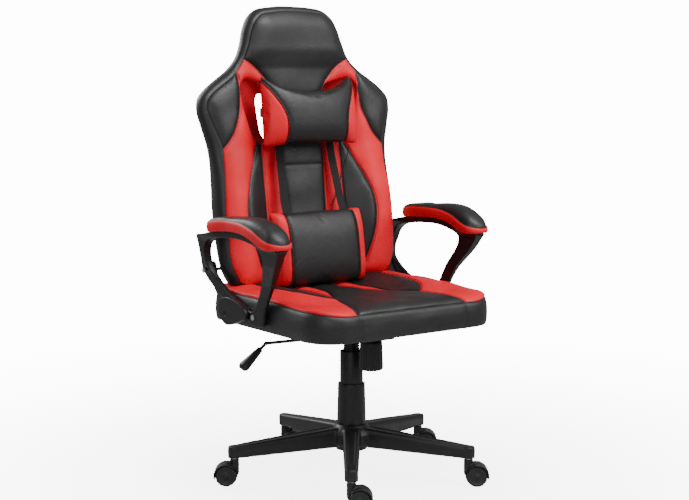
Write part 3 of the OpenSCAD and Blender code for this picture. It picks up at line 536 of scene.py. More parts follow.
# Seams on the right half, as (distance from the middle, height above the foot)
SEAM_STEP = 0.0045
HEAD_SEAM = [(0.152, 0.556), (0.136, 0.548), (0.120, 0.537), (0.100, 0.517), (0.084, 0.498), (0.074, 0.478),
             (0.067, 0.440), (0.066, 0.385), (0.066, 0.330), (0.064, 0.296), (0.061, 0.243), (0.058, 0.186),
             (0.056, 0.100), (0.055, 0.014)]
WING_SEAM = [(0.181, 0.5265), (0.1785, 0.500), (0.1785, 0.466), (0.184, 0.432), (0.195, 0.402),
             (0.2085, 0.376), (0.2375, 0.345)]
FANG_SEAM = [(0.117, 0.352), (0.118, 0.27), (0.118, 0.19), (0.121, 0.12), (0.131, 0.065), (0.146, 0.038),
             (0.157, 0.055), (0.171, 0.088), (0.182, 0.12), (0.1895, 0.15), (0.193, 0.181), (0.185, 0.226),
             (0.172, 0.260), (0.158, 0.291), (0.141, 0.329), (0.128, 0.352)]
# Front rim of a shoulder hole and its rim at the rear
HOLE_FRONT = [(0.068, 0.366), (0.092, 0.3535), (0.122, 0.354), (0.139, 0.372), (0.156, 0.410), (0.167, 0.455),
              (0.172, 0.490), (0.158, 0.506), (0.120, 0.502), (0.080, 0.486), (0.066, 0.440), (0.064, 0.400)]
HOLE_REAR = [(0.067, 0.366), (0.076, 0.3555), (0.088, 0.358), (0.097, 0.370), (0.103, 0.400), (0.107, 0.434),
             (0.108, 0.456), (0.102, 0.468), (0.088, 0.470), (0.071, 0.464), (0.065, 0.434), (0.064, 0.400)]


REAR_INSET = 0.016
FRONT_INSET = np.interp(OUTLINE[:, 1], *BAND_INSET)
FRONT_BORDER = OUTLINE + OUTLINE_IN * FRONT_INSET[:, None]
REAR_BORDER = OUTLINE + OUTLINE_IN * REAR_INSET


def both_sides(curve, step=SEAM_STEP):
    line = spline(curve, step)
    return [line, mirrored(line)]


def onto(line, border, first=True, last=False):
    """Moves a seam's ends to the nearest corner of a border, so that they meet."""
    line = line.copy()
    for wanted, i in ((first, 0), (last, -1)):
        if wanted:
            line[i] = border[nearest(border, line[i])]
    return line


def cushioned(flat, lines, crown, reach, groove, groove_width):
    """How far a padded surface stands out: up between seams, down in them."""
    d = np.full(len(flat), 1e9)
    for line, closed in lines:
        d = np.minimum(d, distance(flat, line, closed))
    return crown * (1 - np.exp(-d / reach)) - groove * bell(d, groove_width)


def rolled_rim(flat, holes):
    """Distance from the nearest hole, and how far the leather rolls in there."""
    rim = np.minimum(distance(flat, holes[0], True), distance(flat, holes[1], True))
    return rim, HOLE_ROUND * (1 - np.sqrt(1 - (1 - np.clip(rim / HOLE_ROUND, 0, 1)) ** 2))


def puckers(points, size, depth, seed):
    """Low soft waves in stretched leather."""
    rng = np.random.default_rng(seed)
    out = np.zeros(len(points))
    for _ in range(7):
        direction = rng.normal(size=points.shape[1])
        direction /= np.linalg.norm(direction)
        out += np.sin(points @ direction * 2 * math.pi / (size * rng.uniform(0.6, 1.6))
                      + rng.uniform(0, 6.28))
    return out * depth / 2.6


def stitches(made, path, normals, pitch=STITCH_PITCH):
    """Adds a row of sewn stitches along a path: one small capsule each."""
    steps = np.linalg.norm(np.diff(path, axis=0), axis=1)
    along = np.concatenate([[0], np.cumsum(steps)])
    count = int(along[-1] / pitch)
    for i in range(count):
        ends = []
        for part in (0.16, 0.5, 0.84):
            s = (i + part) * pitch
            k = min(np.searchsorted(along, s, "right") - 1, len(path) - 2)
            t = (s - along[k]) / max(steps[k], 1e-9)
            p = path[k] * (1 - t) + path[k + 1] * t
            n = normals[k] * (1 - t) + normals[k + 1] * t
            ends.append(p + n * (0.00045 if part == 0.5 else -0.0001))
        made.add(*tube(ends, STITCH_RADIUS, 5))


def stitch_beside(made, line, surface, quilt, lift, gaps=(-STITCH_GAP, STITCH_GAP), rear=False):
    """Adds rows of stitches beside a seam of a quilted surface."""
    for gap in gaps:
        beside = line + left_of(line) * gap
        rise = cushioned(beside, [(line, False)], *quilt)
        path, n = line_on(surface, beside, 0)
        if rear and n[:, 1].mean() < 0:
            n = -n
        stitches(made, path + n * (rise[:, None] + lift), n)


def panels(stem, surface, black, node):
    """The black and the red leather of a surface; its CAD node is hidden, so the panels show in its place."""
    verts, faces, normals = surface
    for colour, keep, material in (("black", black, BLACK), ("red", ~black, RED)):
        v, f = split(verts, faces[keep], normals, TUCK)
        piece = build(f"{stem}_{colour}_panels", v, f, material, "seat")
    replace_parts(piece, node)


hole_front = spline(HOLE_FRONT, 0.004, closed=True)
hole_rear = spline(HOLE_REAR, 0.004, closed=True)


def build_back():
    head = [onto(s, FRONT_BORDER, True, True) for s in both_sides(HEAD_SEAM)]
    wing = [onto(s, FRONT_BORDER, True, True) for s in both_sides(WING_SEAM)]
    fang = [np.array(s) for s in both_sides(FANG_SEAM)]
    holes = [hole_front, mirrored(hole_front)]
    fang = [onto(s, h, True, True) for s, h in zip(fang, holes)]
    cross = [np.stack([np.linspace(-0.064, 0.064, 29), np.full(29, CROSS_H)], 1)]
    sag = 0.006 * np.cos(np.linspace(-1.5, 1.5, 31))
    head_low = [np.stack([np.linspace(-0.0715, 0.0715, 31), np.full(31, HEAD_LOW_H) - sag], 1)]
    for line in (cross[0], head_low[0]):
        for end, seam in ((0, head[1]), (-1, head[0])):
            line[end] = seam[nearest(seam, line[end])]
    seams = head + wing + fang + cross + head_low
    flat, faces, middle = patch(FRONT_BORDER, holes, seams, 0.0075)
    lines = [(s, False) for s in head + wing + fang + head_low] + [(FRONT_BORDER, True)]
    rise = cushioned(flat, lines, *BACK_QUILT)
    rise -= 0.0016 * bell(distance(flat, cross[0]), 0.0024)
    fill = 0.0022 + 0.0012 * ramp(0.50, 0.56, flat[:, 1])
    rise += fill * bell(distance(flat, FRONT_BORDER, True), 0.0034)
    rim, drop = rolled_rim(flat, holes)
    rise *= ramp(0.0, 0.02, rim)
    rise -= drop
    rise += puckers(flat, 0.09, 0.0007, 3)
    normals = surface_normals(back_front, flat)
    verts = back_front(flat) + normals * rise[:, None]

    centre = np.vstack([head[0], head[1][::-1]])
    black = inside(middle, centre) & (middle[:, 1] < 0.6) | (middle[:, 1] > 0.5565)
    head_x = np.interp(middle[:, 1], head[0][::-1, 1], head[0][::-1, 0])
    black |= (middle[:, 1] > 0.47) & (np.abs(middle[:, 0]) < head_x)
    for s in fang:
        black |= inside(middle, s)
    wing_x = np.interp(middle[:, 1], wing[0][::-1, 1], wing[0][::-1, 0])
    at_wing = (middle[:, 1] > wing[0][-1, 1]) & (middle[:, 1] < wing[0][0, 1])
    black |= at_wing & (np.abs(middle[:, 0]) > wing_x)
    panels("back", (verts, faces, normals), black, "back_cushion")
    return seams


def line_on(surface, line, rise):
    """A flat seam line laid on a surface, sunk or raised along its normal."""
    n = surface_normals(surface, line)
    return surface(line) + n * rise, n


def build_back_trim(seams):
    welts, rows = Shape(), Shape()
    for line in seams:
        # only the thin level seam across the middle
        flat_seam = np.ptp(line[:, 1]) < 1e-3
        path, _ = line_on(back_front, line, 0.0026 if flat_seam else -0.0026)
        welts.add(*tube(path, 0.0009 if flat_seam else 0.0013, 7))
        if not flat_seam:
            stitch_beside(rows, line, back_front, BACK_QUILT, 0.0002)
    closed = np.vstack([FRONT_BORDER, FRONT_BORDER[:1]])
    low = closed[:, 1] < 0.50
    for side_low in (low & (closed[:, 0] > 0), low & (closed[:, 0] < 0)):
        path, _ = line_on(back_front, closed[side_low], -0.0018)
        welts.add(*tube(path, 0.0011, 8))
    closed = np.vstack([REAR_BORDER, REAR_BORDER[:1]])
    path, _ = line_on(back_rear, closed, 0.0004)
    welts.add(*tube(path[:-1], 0.0021, 8, closed=True))
    welts.build("back_piping", PIPING, "seat", "black_leather")
    rows.build("back_stitching", THREAD, "seat", "black_leather")


def build_back_shell():
    """The black side band between the front and the rear seams, and the rear panel."""
    steps = 13
    rows = []
    bulge = 0.0015
    for k in range(steps):
        t = 1 - k / (steps - 1)
        flat = OUTLINE + OUTLINE_IN * (FRONT_INSET * t * t)[:, None]
        rows.append(back_front(flat))
    for k in range(1, steps):
        t = k / (steps - 1)
        flat = OUTLINE + OUTLINE_IN * REAR_INSET * t * t
        rows.append(back_rear(flat))
    rows = np.array(rows)
    ahead = np.roll(rows, -1, 1) - np.roll(rows, 1, 1)
    across = np.gradient(rows, axis=0)
    n = np.cross(ahead, across)
    n /= np.maximum(np.linalg.norm(n, axis=2), 1e-12)[..., None]
    outward = np.zeros_like(n)
    outward[..., 0], outward[..., 2] = -OUTLINE_IN[:, 0], -OUTLINE_IN[:, 1]
    if (n * outward).sum() < 0:
        n = -n
    edge = np.concatenate([[0], np.cumsum(np.linalg.norm(np.diff(rows, axis=0), axis=2).mean(1))])
    near = np.minimum(edge, edge[-1] - edge)
    lift = bulge * (1 - np.exp(-near / 0.012)) - 0.0011 * bell(near, 0.0035)
    wave = puckers(rows.reshape(-1, 3), 0.11, 0.0006, 5).reshape(rows.shape[:2])
    rows = rows + n * (lift[:, None] + wave * ramp(0, 0.02, near)[:, None])[..., None]
    faces = grid_faces(len(rows), len(OUTLINE), False, True)
    band = build("back_side_band", rows.reshape(-1, 3), faces, BLACK, "seat")
    orient(band)

    holes = [hole_rear, mirrored(hole_rear)]
    level = np.stack([np.linspace(-0.247, 0.247, 90), np.full(90, 0.318)], 1)
    level = onto(level, REAR_BORDER, True, True)
    upright = [np.stack([np.full(64, s * 0.118), np.linspace(0.318, 0.012, 64)], 1) for s in SIDES]
    for line in upright:
        line[0] = level[np.argmin(np.abs(level[:, 0] - line[0, 0]))]
        line[-1] = REAR_BORDER[nearest(REAR_BORDER, line[-1])]
    seams = [level] + upright
    flat, faces, middle = patch(REAR_BORDER, holes, seams, 0.009)
    lines = [(s, False) for s in seams] + [(REAR_BORDER, True)]
    rise = cushioned(flat, lines, *REAR_QUILT)
    rise -= rolled_rim(flat, holes)[1]
    rise += puckers(flat, 0.1, 0.0006, 9)
    normals = -surface_normals(back_rear, flat)
    if normals[:, 1].mean() < 0:
        normals = -normals
    verts = back_rear(flat) + normals * rise[:, None]
    v, f = split(verts, faces, normals, TUCK)
    rear = build("back_rear_panel", v, f, BLACK, "seat")
    orient(rear)
    trim = Shape()
    for line in seams:
        stitch_beside(trim, line, back_rear, REAR_QUILT, 0.0002, gaps=(0.005,), rear=True)
    trim.build("back_rear_stitching", THREAD, "seat", "black_leather")


def build_hole_walls():
    """Leather that lines each shoulder hole, from the front rim to the rear rim, in a darker copy of the red
    leather: painted shade inside the hole.
    """
    rings = 9
    count = 96
    shape = Shape()
    for s in SIDES:
        loops = []
        for curve, surface, sign in ((HOLE_FRONT, back_front, -1), (HOLE_REAR, back_rear, 1)):
            loop = spline(curve, 0.0005, closed=True)
            loop = loop[np.linspace(0, len(loop), count, endpoint=False).astype(int)] * [s, 1]
            n = surface_normals(surface, loop)
            n = n if (n[:, 1].mean() > 0) == (sign > 0) else -n
            loops.append(surface(loop) - n * HOLE_ROUND)
        rows = []
        for k in range(rings):
            t = k / (rings - 1)
            pull = 0.004 * math.sin(math.pi * t)
            row = loops[0] * (1 - t) + loops[1] * t
            away = row - row.mean(0)
            away[:, 1] = 0
            away /= np.linalg.norm(away, axis=1)[:, None]
            rows.append(row + away * pull)
        faces = grid_faces(rings, count, False, True, flip=s > 0)
        shape.add(np.array(rows).reshape(-1, 3), faces)
    wall = shape.build("shoulder_hole_lining", SHADED_RED, "seat", "red_leather")
    orient(wall, inward=True)


def orient(obj, inward=False):
    """Makes a shell's faces point the same way."""
    mesh = bmesh.new()
    mesh.from_mesh(obj.data)
    bmesh.ops.recalc_face_normals(mesh, faces=mesh.faces)
    if inward:
        bmesh.ops.reverse_faces(mesh, faces=mesh.faces)
    mesh.to_mesh(obj.data)
    mesh.free()
    obj.data.update()


build_back_trim(build_back())
build_back_shell()
build_hole_walls()


# ---------- seat cushion ----------
SEAT_HALF = SEAT_HIGH.x
SEAT_FRONT, SEAT_REAR = SEAT_LOW.y, SEAT_HIGH.y
SEAT_BOTTOM = SEAT_LOW.z
SEAT_TOP = SEAT_BOTTOM + 0.072
FRONT_RADIUS, REAR_RADIUS = 0.080, 0.040
TOP_INSET = 0.007
# Seams on the seat's right half, as (distance from the middle, y)
TONGUE_SEAM = [(0.036, 0.222), (0.036, 0.14), (0.042, 0.07), (0.061, 0.0), (0.086, -0.045), (0.106, -0.082),
               (0.120, -0.112), (0.130, -0.142), (0.139, -0.172), (0.149, -0.207), (0.158, -0.243)]
# The wall seam lies further in than the red strip's own edge, so the black inner wall also covers red that
# lies in the shade of the back and its pillow: partly painted shade.
WALL_SEAM = [(0.086, -0.045), (0.086, 0.01), (0.083, 0.075), (0.081, 0.15), (0.080, 0.222)]
CREST_SEAM = [(0.120, -0.112), (0.150, -0.078), (0.171, -0.03), (0.184, 0.03), (0.188, 0.10), (0.188, 0.222)]


def seat_outline():
    """The seat seen from above: large front corners, smaller rear ones."""
    points = []
    for cx, cy, r, start in ((1, 1, REAR_RADIUS, 0), (-1, 1, REAR_RADIUS, 90),
                             (-1, -1, FRONT_RADIUS, 180), (1, -1, FRONT_RADIUS, 270)):
        centre = np.array([cx * (SEAT_HALF - r), SEAT_REAR - r if cy > 0 else SEAT_FRONT + r])
        for a in np.radians(np.linspace(start, start + 90, 19 if r > 0.05 else 11)):
            points.append(centre + r * np.array([math.cos(a), math.sin(a)]))
    loop = np.vstack([points, points[:1]])
    steps = np.linalg.norm(np.diff(loop, axis=0), axis=1)
    along = np.concatenate([[0], np.cumsum(steps)])
    even = np.linspace(0, along[-1], 301)[:-1]
    return np.stack([np.interp(even, along, loop[:, 0]), np.interp(even, along, loop[:, 1])], 1)


SEAT_PLAN = seat_outline()
SEAT_IN = normals_2d(SEAT_PLAN)
SEAT_BORDER = SEAT_PLAN + SEAT_IN * TOP_INSET


def seat_surface(points):
    """The top of the seat: a flat middle, raised side bolsters and a falling front."""
    x, y = np.abs(points[:, 0]), points[:, 1]
    t = np.clip(distance(points, SEAT_PLAN, True) / 0.040, 0, 1)
    rounded = (1 - (1 - t) ** 2.4) ** 0.5
    rear = 1 - ramp(-0.16, -0.03, y)
    crest = np.interp(y, [-0.25, -0.108, -0.03, 0.03, 0.24], [0.127, 0.135, 0.171, 0.184, 0.188])
    wall = ramp(0.092, 0.004 + crest, x) * (1 - rear)
    flat = SEAT_TOP - 0.0035 + 0.0045 * rear
    z = flat + 0.0175 * wall - 0.009 * ramp(0.19, 0.26, x) * (1 - rear)
    z -= 0.0105 * (1 - rounded)
    front = np.clip((SEAT_FRONT + 0.075 - y) / 0.075, 0, 1)
    z -= 0.0095 * front ** 2
    return np.stack([points[:, 0], points[:, 1], z], 1)


def build_seat():
    tongue = [onto(s, SEAT_BORDER, True, True) for s in both_sides(TONGUE_SEAM)]
    wall = [onto(s, SEAT_BORDER, False, True) for s in both_sides(WALL_SEAM)]
    crest = [onto(s, SEAT_BORDER, False, True) for s in both_sides(CREST_SEAM)]
    joins = []
    for k in range(2):
        for line in (wall[k], crest[k]):
            joins.append(nearest(tongue[k], line[0]))
            line[0] = tongue[k][joins[-1]]
    seams = tongue + wall + crest
    flat, faces, middle = patch(SEAT_BORDER, [], seams, 0.0075)
    lines = [(s, False) for s in seams]
    rise = cushioned(flat, lines, *SEAT_QUILT)
    rise += 0.0010 - 0.0026 * bell(distance(flat, SEAT_BORDER, True), 0.003)
    rise += puckers(flat, 0.10, 0.0008, 11)
    normals = surface_normals(seat_surface, flat)
    verts = seat_surface(flat) + normals * rise[:, None]
    black = inside(middle, np.vstack([tongue[0], tongue[1][::-1]]))
    # Black inner walls between the wall and crest seams; near the wall seam this black stands in for shaded
    # red: painted shade.
    for k in range(2):
        between = tongue[k][joins[2 * k] + 1:joins[2 * k + 1]]
        black |= inside(middle, np.vstack([wall[k][::-1], between, crest[k]]))
    panels("seat", (verts, faces, normals), black, "seat_cushion")

    # side band: from the top seam, over the side and in under the board
    profile = spline([(0, 0), (0.35, 0.06), (0.8, 0.2), (1.12, 0.45), (1.12, 0.7), (0.85, 0.92), (0.1, 1.0),
                      (-1.4, 1.0), (-6.0, 0.995)], 0.04)
    top = seat_surface(SEAT_BORDER)
    rows = []
    for out, down in profile:
        row = top.copy()
        row[:, :2] -= SEAT_IN * out * TOP_INSET
        row[:, 2] = top[:, 2] - down * (top[:, 2] - SEAT_BOTTOM)
        rows.append(row)
    rows = np.array(rows)
    seam_at = [int(nearest(SEAT_PLAN, [s * 0.156, SEAT_FRONT])) for s in SIDES]
    loop_step = np.linalg.norm(np.diff(SEAT_PLAN, axis=0), axis=1).mean()
    count = len(SEAT_PLAN)
    every = np.arange(count)
    gap = np.min([np.minimum((every - i) % count, (i - every) % count) for i in seam_at], axis=0)
    dent = 0.0034 * bell(gap * loop_step, 0.0042)
    wave = puckers(rows.reshape(-1, 3), 0.12, 0.0011, 21).reshape(rows.shape[:2])
    middle_band = np.sin(np.clip(profile[:, 1], 0, 1) * math.pi)[:, None]
    sink = -0.0016 * bell(profile[:, 1], 0.035)[:, None]
    rows[..., :2] -= SEAT_IN[None] * ((wave * middle_band) - dent * middle_band + sink)[..., None]
    band = build("seat_side_band", rows.reshape(-1, 3), grid_faces(len(rows), count, False, True),
                 BLACK, "seat")
    orient(band)

    welts, sewing = Shape(), Shape()
    for line in seams:
        path, _ = line_on(seat_surface, line, -0.0022)
        welts.add(*tube(path, 0.0012, 7))
        stitch_beside(sewing, line, seat_surface, SEAT_QUILT, 0.0012)
    path, _ = line_on(seat_surface, SEAT_BORDER, -0.0010)
    welts.add(*tube(path, 0.0014, 7, closed=True))
    for i in seam_at:
        path = rows[2:-10, i].copy()
        path[:, :2] += SEAT_IN[i] * 0.0006
        welts.add(*tube(path, 0.0011, 7))
    welts.build("seat_piping", PIPING, "seat", "black_leather")
    sewing.build("seat_stitching", THREAD, "seat", "black_leather")
    # dust cloth that closes the underside round the board
    loop = rows[-1] + [0, 0, 0.0012]
    hub = np.array([[0, 0, loop[:, 2].mean()]])
    verts = np.vstack([loop, loop * [0.55, 0.55, 1], hub])
    n = len(loop)
    faces = [(i, (i + 1) % n, n + (i + 1) % n, n + i) for i in range(n)]
    cover = build("seat_dust_cloth", verts, faces, WEBBING, "seat")
    orient(cover)


build_seat()


# ---------- pillows ----------
PILLOW_VOXEL = 0.0048
PILLOW_RINGS = 25
WELT_RADIUS = 0.0017


def inflate(obj, pressure, frames, cap):
    """Blows a closed mesh up with the cloth solver and keeps the result."""
    bpy.context.view_layer.objects.active = obj
    remesh = obj.modifiers.new("remesh", "REMESH")
    remesh.mode, remesh.voxel_size = "VOXEL", PILLOW_VOXEL
    bake(obj)
    before = coordinates(obj.data)
    cloth = obj.modifiers.new("cloth", "CLOTH")
    settings = cloth.settings
    settings.quality = 6
    settings.mass = 0.35
    settings.tension_stiffness, settings.compression_stiffness = 18, 14
    settings.shear_stiffness, settings.bending_stiffness = 6, 1.2
    settings.use_pressure = True
    settings.uniform_pressure_force = pressure
    settings.effector_weights.gravity = 0
    cloth.collision_settings.use_collision = False
    scene = bpy.context.scene
    for f in range(1, frames + 1):
        scene.frame_set(f)
    graph = bpy.context.evaluated_depsgraph_get()
    moved = coordinates(obj.evaluated_get(graph).data)
    obj.modifiers.remove(cloth)
    scene.frame_set(1)
    shift = moved - before
    length = np.linalg.norm(shift, axis=1)
    shift *= np.minimum(1, cap / np.maximum(length, 1e-9))[:, None]
    obj.data.vertices.foreach_set("co", (before + shift).astype(np.float32).ravel())
    obj.data.update()
    smooth = obj.modifiers.new("subdivide", "SUBSURF")
    smooth.levels = smooth.render_levels = 1
    bake(obj)


def bake(obj):
    """Replaces the mesh by its modified form."""
    graph = bpy.context.evaluated_depsgraph_get()
    graph.update()
    mesh = bpy.data.meshes.new_from_object(obj.evaluated_get(graph))
    old = obj.data
    obj.modifiers.clear()
    obj.data = mesh
    bpy.data.meshes.remove(old)


def coordinates(mesh):
    co = np.empty(len(mesh.vertices) * 3, np.float32)
    mesh.vertices.foreach_get("co", co)
    return co.reshape(-1, 3).astype(float)


def ring_mesh(name, rings):
    """A closed mesh lofted through rings of equal length."""
    n = len(rings[0])
    faces = grid_faces(len(rings), n, False, True) + end_caps(len(rings), n)
    obj = bpy.data.objects.new(name, new_mesh(name, np.array(rings).reshape(-1, 3), faces))
    bpy.context.scene.collection.objects.link(obj)
    orient(obj)
    return obj


def pillow_mesh(name, half_width, sides, profile, powers, forward, rear_share):
    """A closed pillow along X. profile gives its top, foot and half thickness by distance from the middle."""
    rings = []
    for t in np.linspace(-1, 1, PILLOW_RINGS):
        top, low, thick = profile(abs(t))
        ring = []
        for a in np.linspace(0, 2 * math.pi, sides, endpoint=False):
            up, out = math.sin(a), math.cos(a)
            z = (top + low) / 2 + (top - low) / 2 * math.copysign(abs(up) ** powers[0], up)
            base = middle_y(z - FOOT_Z) - forward
            y = base - thick * math.copysign(abs(out) ** powers[1], out) * (1.0 if out > 0 else rear_share)
            ring.append((half_width * t, y, z))
        rings.append(ring)
    return ring_mesh(name, rings)


def sew(obj, curves, depth, width):
    """Pulls a soft mesh in along seam curves, given as 3D polylines on it."""
    co = coordinates(obj.data)
    normals = np.empty(len(obj.data.vertices) * 3, np.float32)
    obj.data.vertices.foreach_get("normal", normals)
    normals = normals.reshape(-1, 3).astype(float)
    d = np.full(len(co), 1e9)
    for curve in curves:
        d = np.minimum(d, distance(co, curve))
    co -= normals * (depth * bell(d, width))[:, None]
    obj.data.vertices.foreach_set("co", co.astype(np.float32).ravel())
    obj.data.update()


def projected(obj, line, start_y, toward):
    """Drops an XZ line onto a mesh along Y; toward is 1 for the front, -1 for the rear."""
    tree = BVHTree.FromObject(obj, bpy.context.evaluated_depsgraph_get())
    points = []
    for x, z in line:
        hit, _, _, _ = tree.ray_cast(Vector((x, start_y, z)), Vector((0, toward, 0)))
        if hit is not None:
            points.append(hit[:])
    return np.array(points)


def two_colours(obj, is_black, names, body, node):
    """Splits a pillow into a black and a red piece by where its faces lie."""
    mesh = obj.data
    co = coordinates(mesh)
    polys = [tuple(p.vertices) for p in mesh.polygons]
    middle = np.array([co[list(p)].mean(0) for p in polys])
    black = is_black(middle)
    made = []
    for name, keep, material, slot in (
            (names[0], black, BLACK, "black_leather"), (names[1], ~black, RED, "red_leather")):
        used = {}
        faces = []
        for p, k in zip(polys, keep):
            if k:
                faces.append(tuple(used.setdefault(v, len(used)) for v in p))
        piece = build(name, co[list(used)], faces, material, body)
        made.append(piece)
    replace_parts(made[0], node)
    bpy.data.objects.remove(obj)


# Seam between the head pillow's black middle and its red end, as (x, z)
HEAD_SEAM_X = [(0.143, 0.977), (0.130, 0.955), (0.112, 0.924), (0.097, 0.897), (0.0895, 0.874),
               (0.0875, 0.84), (0.089, 0.79)]


def build_head_pillow():
    """Bow-tie pillow: a black middle that reaches the top corners, red ends."""
    def profile(side):
        return (0.941 + 0.034 * side ** 2.4, 0.805 - 0.006 * side ** 2,
                0.047 * (1 - side ** 3.2) ** 0.62 + 0.0035)

    pillow = pillow_mesh("head_pillow_soft", 0.141, 32, profile, (0.75, 0.8), 0.052, 0.52)
    inflate(pillow, 4.5, 16, 0.011)
    right = np.array(HEAD_SEAM_X)
    seams = []
    for line in both_sides(right, 0.004):
        seams += [projected(pillow, line, -0.2, 1), projected(pillow, line, 0.6, -1)]
    sew(pillow, seams, 0.0035, 0.0045)
    welts = Shape()
    for seam in seams:
        welts.add(*tube(smoothed(seam), WELT_RADIUS, 8))

    def black(p):
        limit = np.interp(p[:, 2], right[::-1, 1], right[::-1, 0])
        return np.abs(p[:, 0]) < limit

    two_colours(pillow, black, ("head_pillow_black", "head_pillow_red"), "head_pillow", "head_pillow")
    welts.build("head_pillow_seams", PIPING, "head_pillow", "black_leather")


def smoothed(path, rounds=3):
    path = np.array(path, float)
    for _ in range(rounds):
        path[1:-1] = (path[:-2] + 2 * path[1:-1] + path[2:]) / 4
    return path


LUMBAR_SEAM_X = 0.101


def build_lumbar_pillow():
    """Rectangular pillow with a black middle and red ends."""
    def profile(side):
        return (0.6385 + 0.003 * side ** 2, 0.462 - 0.002 * side ** 2,
                0.034 * (1 - side ** 7) ** 0.5 + 0.005)

    pillow = pillow_mesh("lumbar_pillow_soft", 0.135, 36, profile, (0.62, 0.7), 0.046, 0.75)
    inflate(pillow, 1.8, 14, 0.0045)
    heights = np.linspace(0.455, 0.648, 60)
    seams = []
    for s in SIDES:
        line = np.stack([np.full(60, s * LUMBAR_SEAM_X), heights], 1)
        front, rear = projected(pillow, line, -0.3, 1), projected(pillow, line, 0.6, -1)
        seams.append(np.vstack([front, rear[::-1]]))
    sew(pillow, [np.vstack([s, s[:1]]) for s in seams], 0.0032, 0.0045)
    welts = Shape()
    for seam in seams:
        welts.add(*tube(smoothed(seam), WELT_RADIUS, 8, closed=True))
    two_colours(pillow, lambda p: np.abs(p[:, 0]) < LUMBAR_SEAM_X,
                ("lumbar_pillow_black", "lumbar_pillow_red"), "lumbar_pillow", "lumbar_pillow")
    welts.build("lumbar_pillow_seams", PIPING, "lumbar_pillow", "black_leather")


build_head_pillow()
build_lumbar_pillow()


# ---------- webbing ----------
WEBBING_WIDTH, WEBBING_THICK = 0.0225, 0.0017
WEBBING_SIDES = 16


def strap(path, across, width=WEBBING_WIDTH, thick=WEBBING_THICK):
    """A flat band with rounded edges along a 3D path."""
    path = np.array(path, float)
    ahead = np.gradient(path, axis=0)
    ahead /= np.linalg.norm(ahead, axis=1)[:, None]
    across = np.array(across, float)
    section = []
    for a in np.linspace(0, 2 * math.pi, WEBBING_SIDES, endpoint=False):
        section.append((math.copysign(abs(math.cos(a)) ** 0.3, math.cos(a)) * width / 2,
                        math.copysign(abs(math.sin(a)) ** 0.6, math.sin(a)) * thick / 2))
    rows = []
    for p, t in zip(path, ahead):
        side = across - t * (across @ t)
        side /= np.linalg.norm(side)
        up = np.cross(t, side)
        rows.append([p + side * u + up * v for u, v in section])
    faces = grid_faces(len(rows), WEBBING_SIDES, False, True) + end_caps(len(rows), WEBBING_SIDES)
    return np.array(rows).reshape(-1, 3), faces


def build_webbing():
    shape = Shape()
    for s in SIDES:
        path = spline([(s * 0.0765, 0.203, 0.815), (s * 0.0775, 0.196, 0.780), (s * 0.081, 0.178, 0.715),
                       (s * 0.0845, 0.161, 0.655), (s * 0.085, 0.150, 0.632)], 0.008)
        shape.add(*strap(path, (1, 0, 0)))
    bands = shape.build("lumbar_webbing", WEBBING, "lumbar_pillow", "webbing")
    orient(bands)
    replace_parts(bands, "lumbar_straps")
    low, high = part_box("head_strap")
    mid_z = (low.z + high.z) / 2
    rear = high.y
    path = [(-0.0885, low.y + 0.01, mid_z)]
    path += [(-0.0885, y, mid_z) for y in np.linspace(low.y + 0.03, rear - 0.016, 6)]
    path += [(-0.084, rear - 0.004, mid_z), (-0.070, rear, mid_z)]
    path += [(x, rear + 0.0006, mid_z) for x in np.linspace(-0.05, 0, 4)]
    path = np.array(path)
    whole = np.vstack([path, (path[:-1] * [-1, 1, 1])[::-1]])
    band = Shape().add(*strap(spline(whole, 0.006), (0, 0, 1)))
    piece = band.build("head_pillow_webbing", WEBBING, "head_pillow", "webbing")
    orient(piece)
    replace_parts(piece, "head_strap")
    buckle = Shape()
    for dx in (-0.013, 0.0, 0.013):
        bar = spline([(0.03 + dx, rear + 0.0028, mid_z - 0.0145), (0.03 + dx, rear + 0.0034, mid_z),
                      (0.03 + dx, rear + 0.0028, mid_z + 0.0145)], 0.003)
        buckle.add(*tube(bar, 0.0016, 8))
    for s in SIDES:
        bar = spline([(0.017, rear + 0.0028, mid_z + s * 0.0145), (0.030, rear + 0.0031, mid_z + s * 0.015),
                      (0.043, rear + 0.0028, mid_z + s * 0.0145)], 0.003)
        buckle.add(*tube(bar, 0.0018, 8))
    piece = buckle.build("head_strap_adjuster", PLASTIC, "head_pillow", "black_plastic")
    orient(piece)


build_webbing()


# ---------- arm pads ----------
# Heights of the pad's seam, crown and underside, by place along it
PAD_SEAM = ([-0.147, -0.14, -0.104, -0.07, -0.018, 0.036, 0.09, 0.152],
            [0.602, 0.605, 0.6145, 0.632, 0.6435, 0.645, 0.643, 0.6335])
PAD_TOP = ([-0.147, -0.124, -0.092, -0.055, -0.02, 0.044, 0.127, 0.152],
           [0.613, 0.629, 0.645, 0.6545, 0.6545, 0.650, 0.645, 0.638])
PAD_LOW = ([-0.147, -0.136, -0.10, -0.068, -0.022, 0.03, 0.09, 0.142, 0.152],
           [0.592, 0.5898, 0.592, 0.6078, 0.6193, 0.6208, 0.6163, 0.6101, 0.612])
PAD_INSET = 0.0035


def pad_value(table, y):
    """A smooth height along the pad."""
    ys = np.linspace(-0.147, 0.152, 61)
    zs = np.interp(ys, *table)
    for _ in range(12):
        zs[1:-1] = (zs[:-2] + 2 * zs[1:-1] + zs[2:]) / 4
    return np.interp(y, ys, zs)


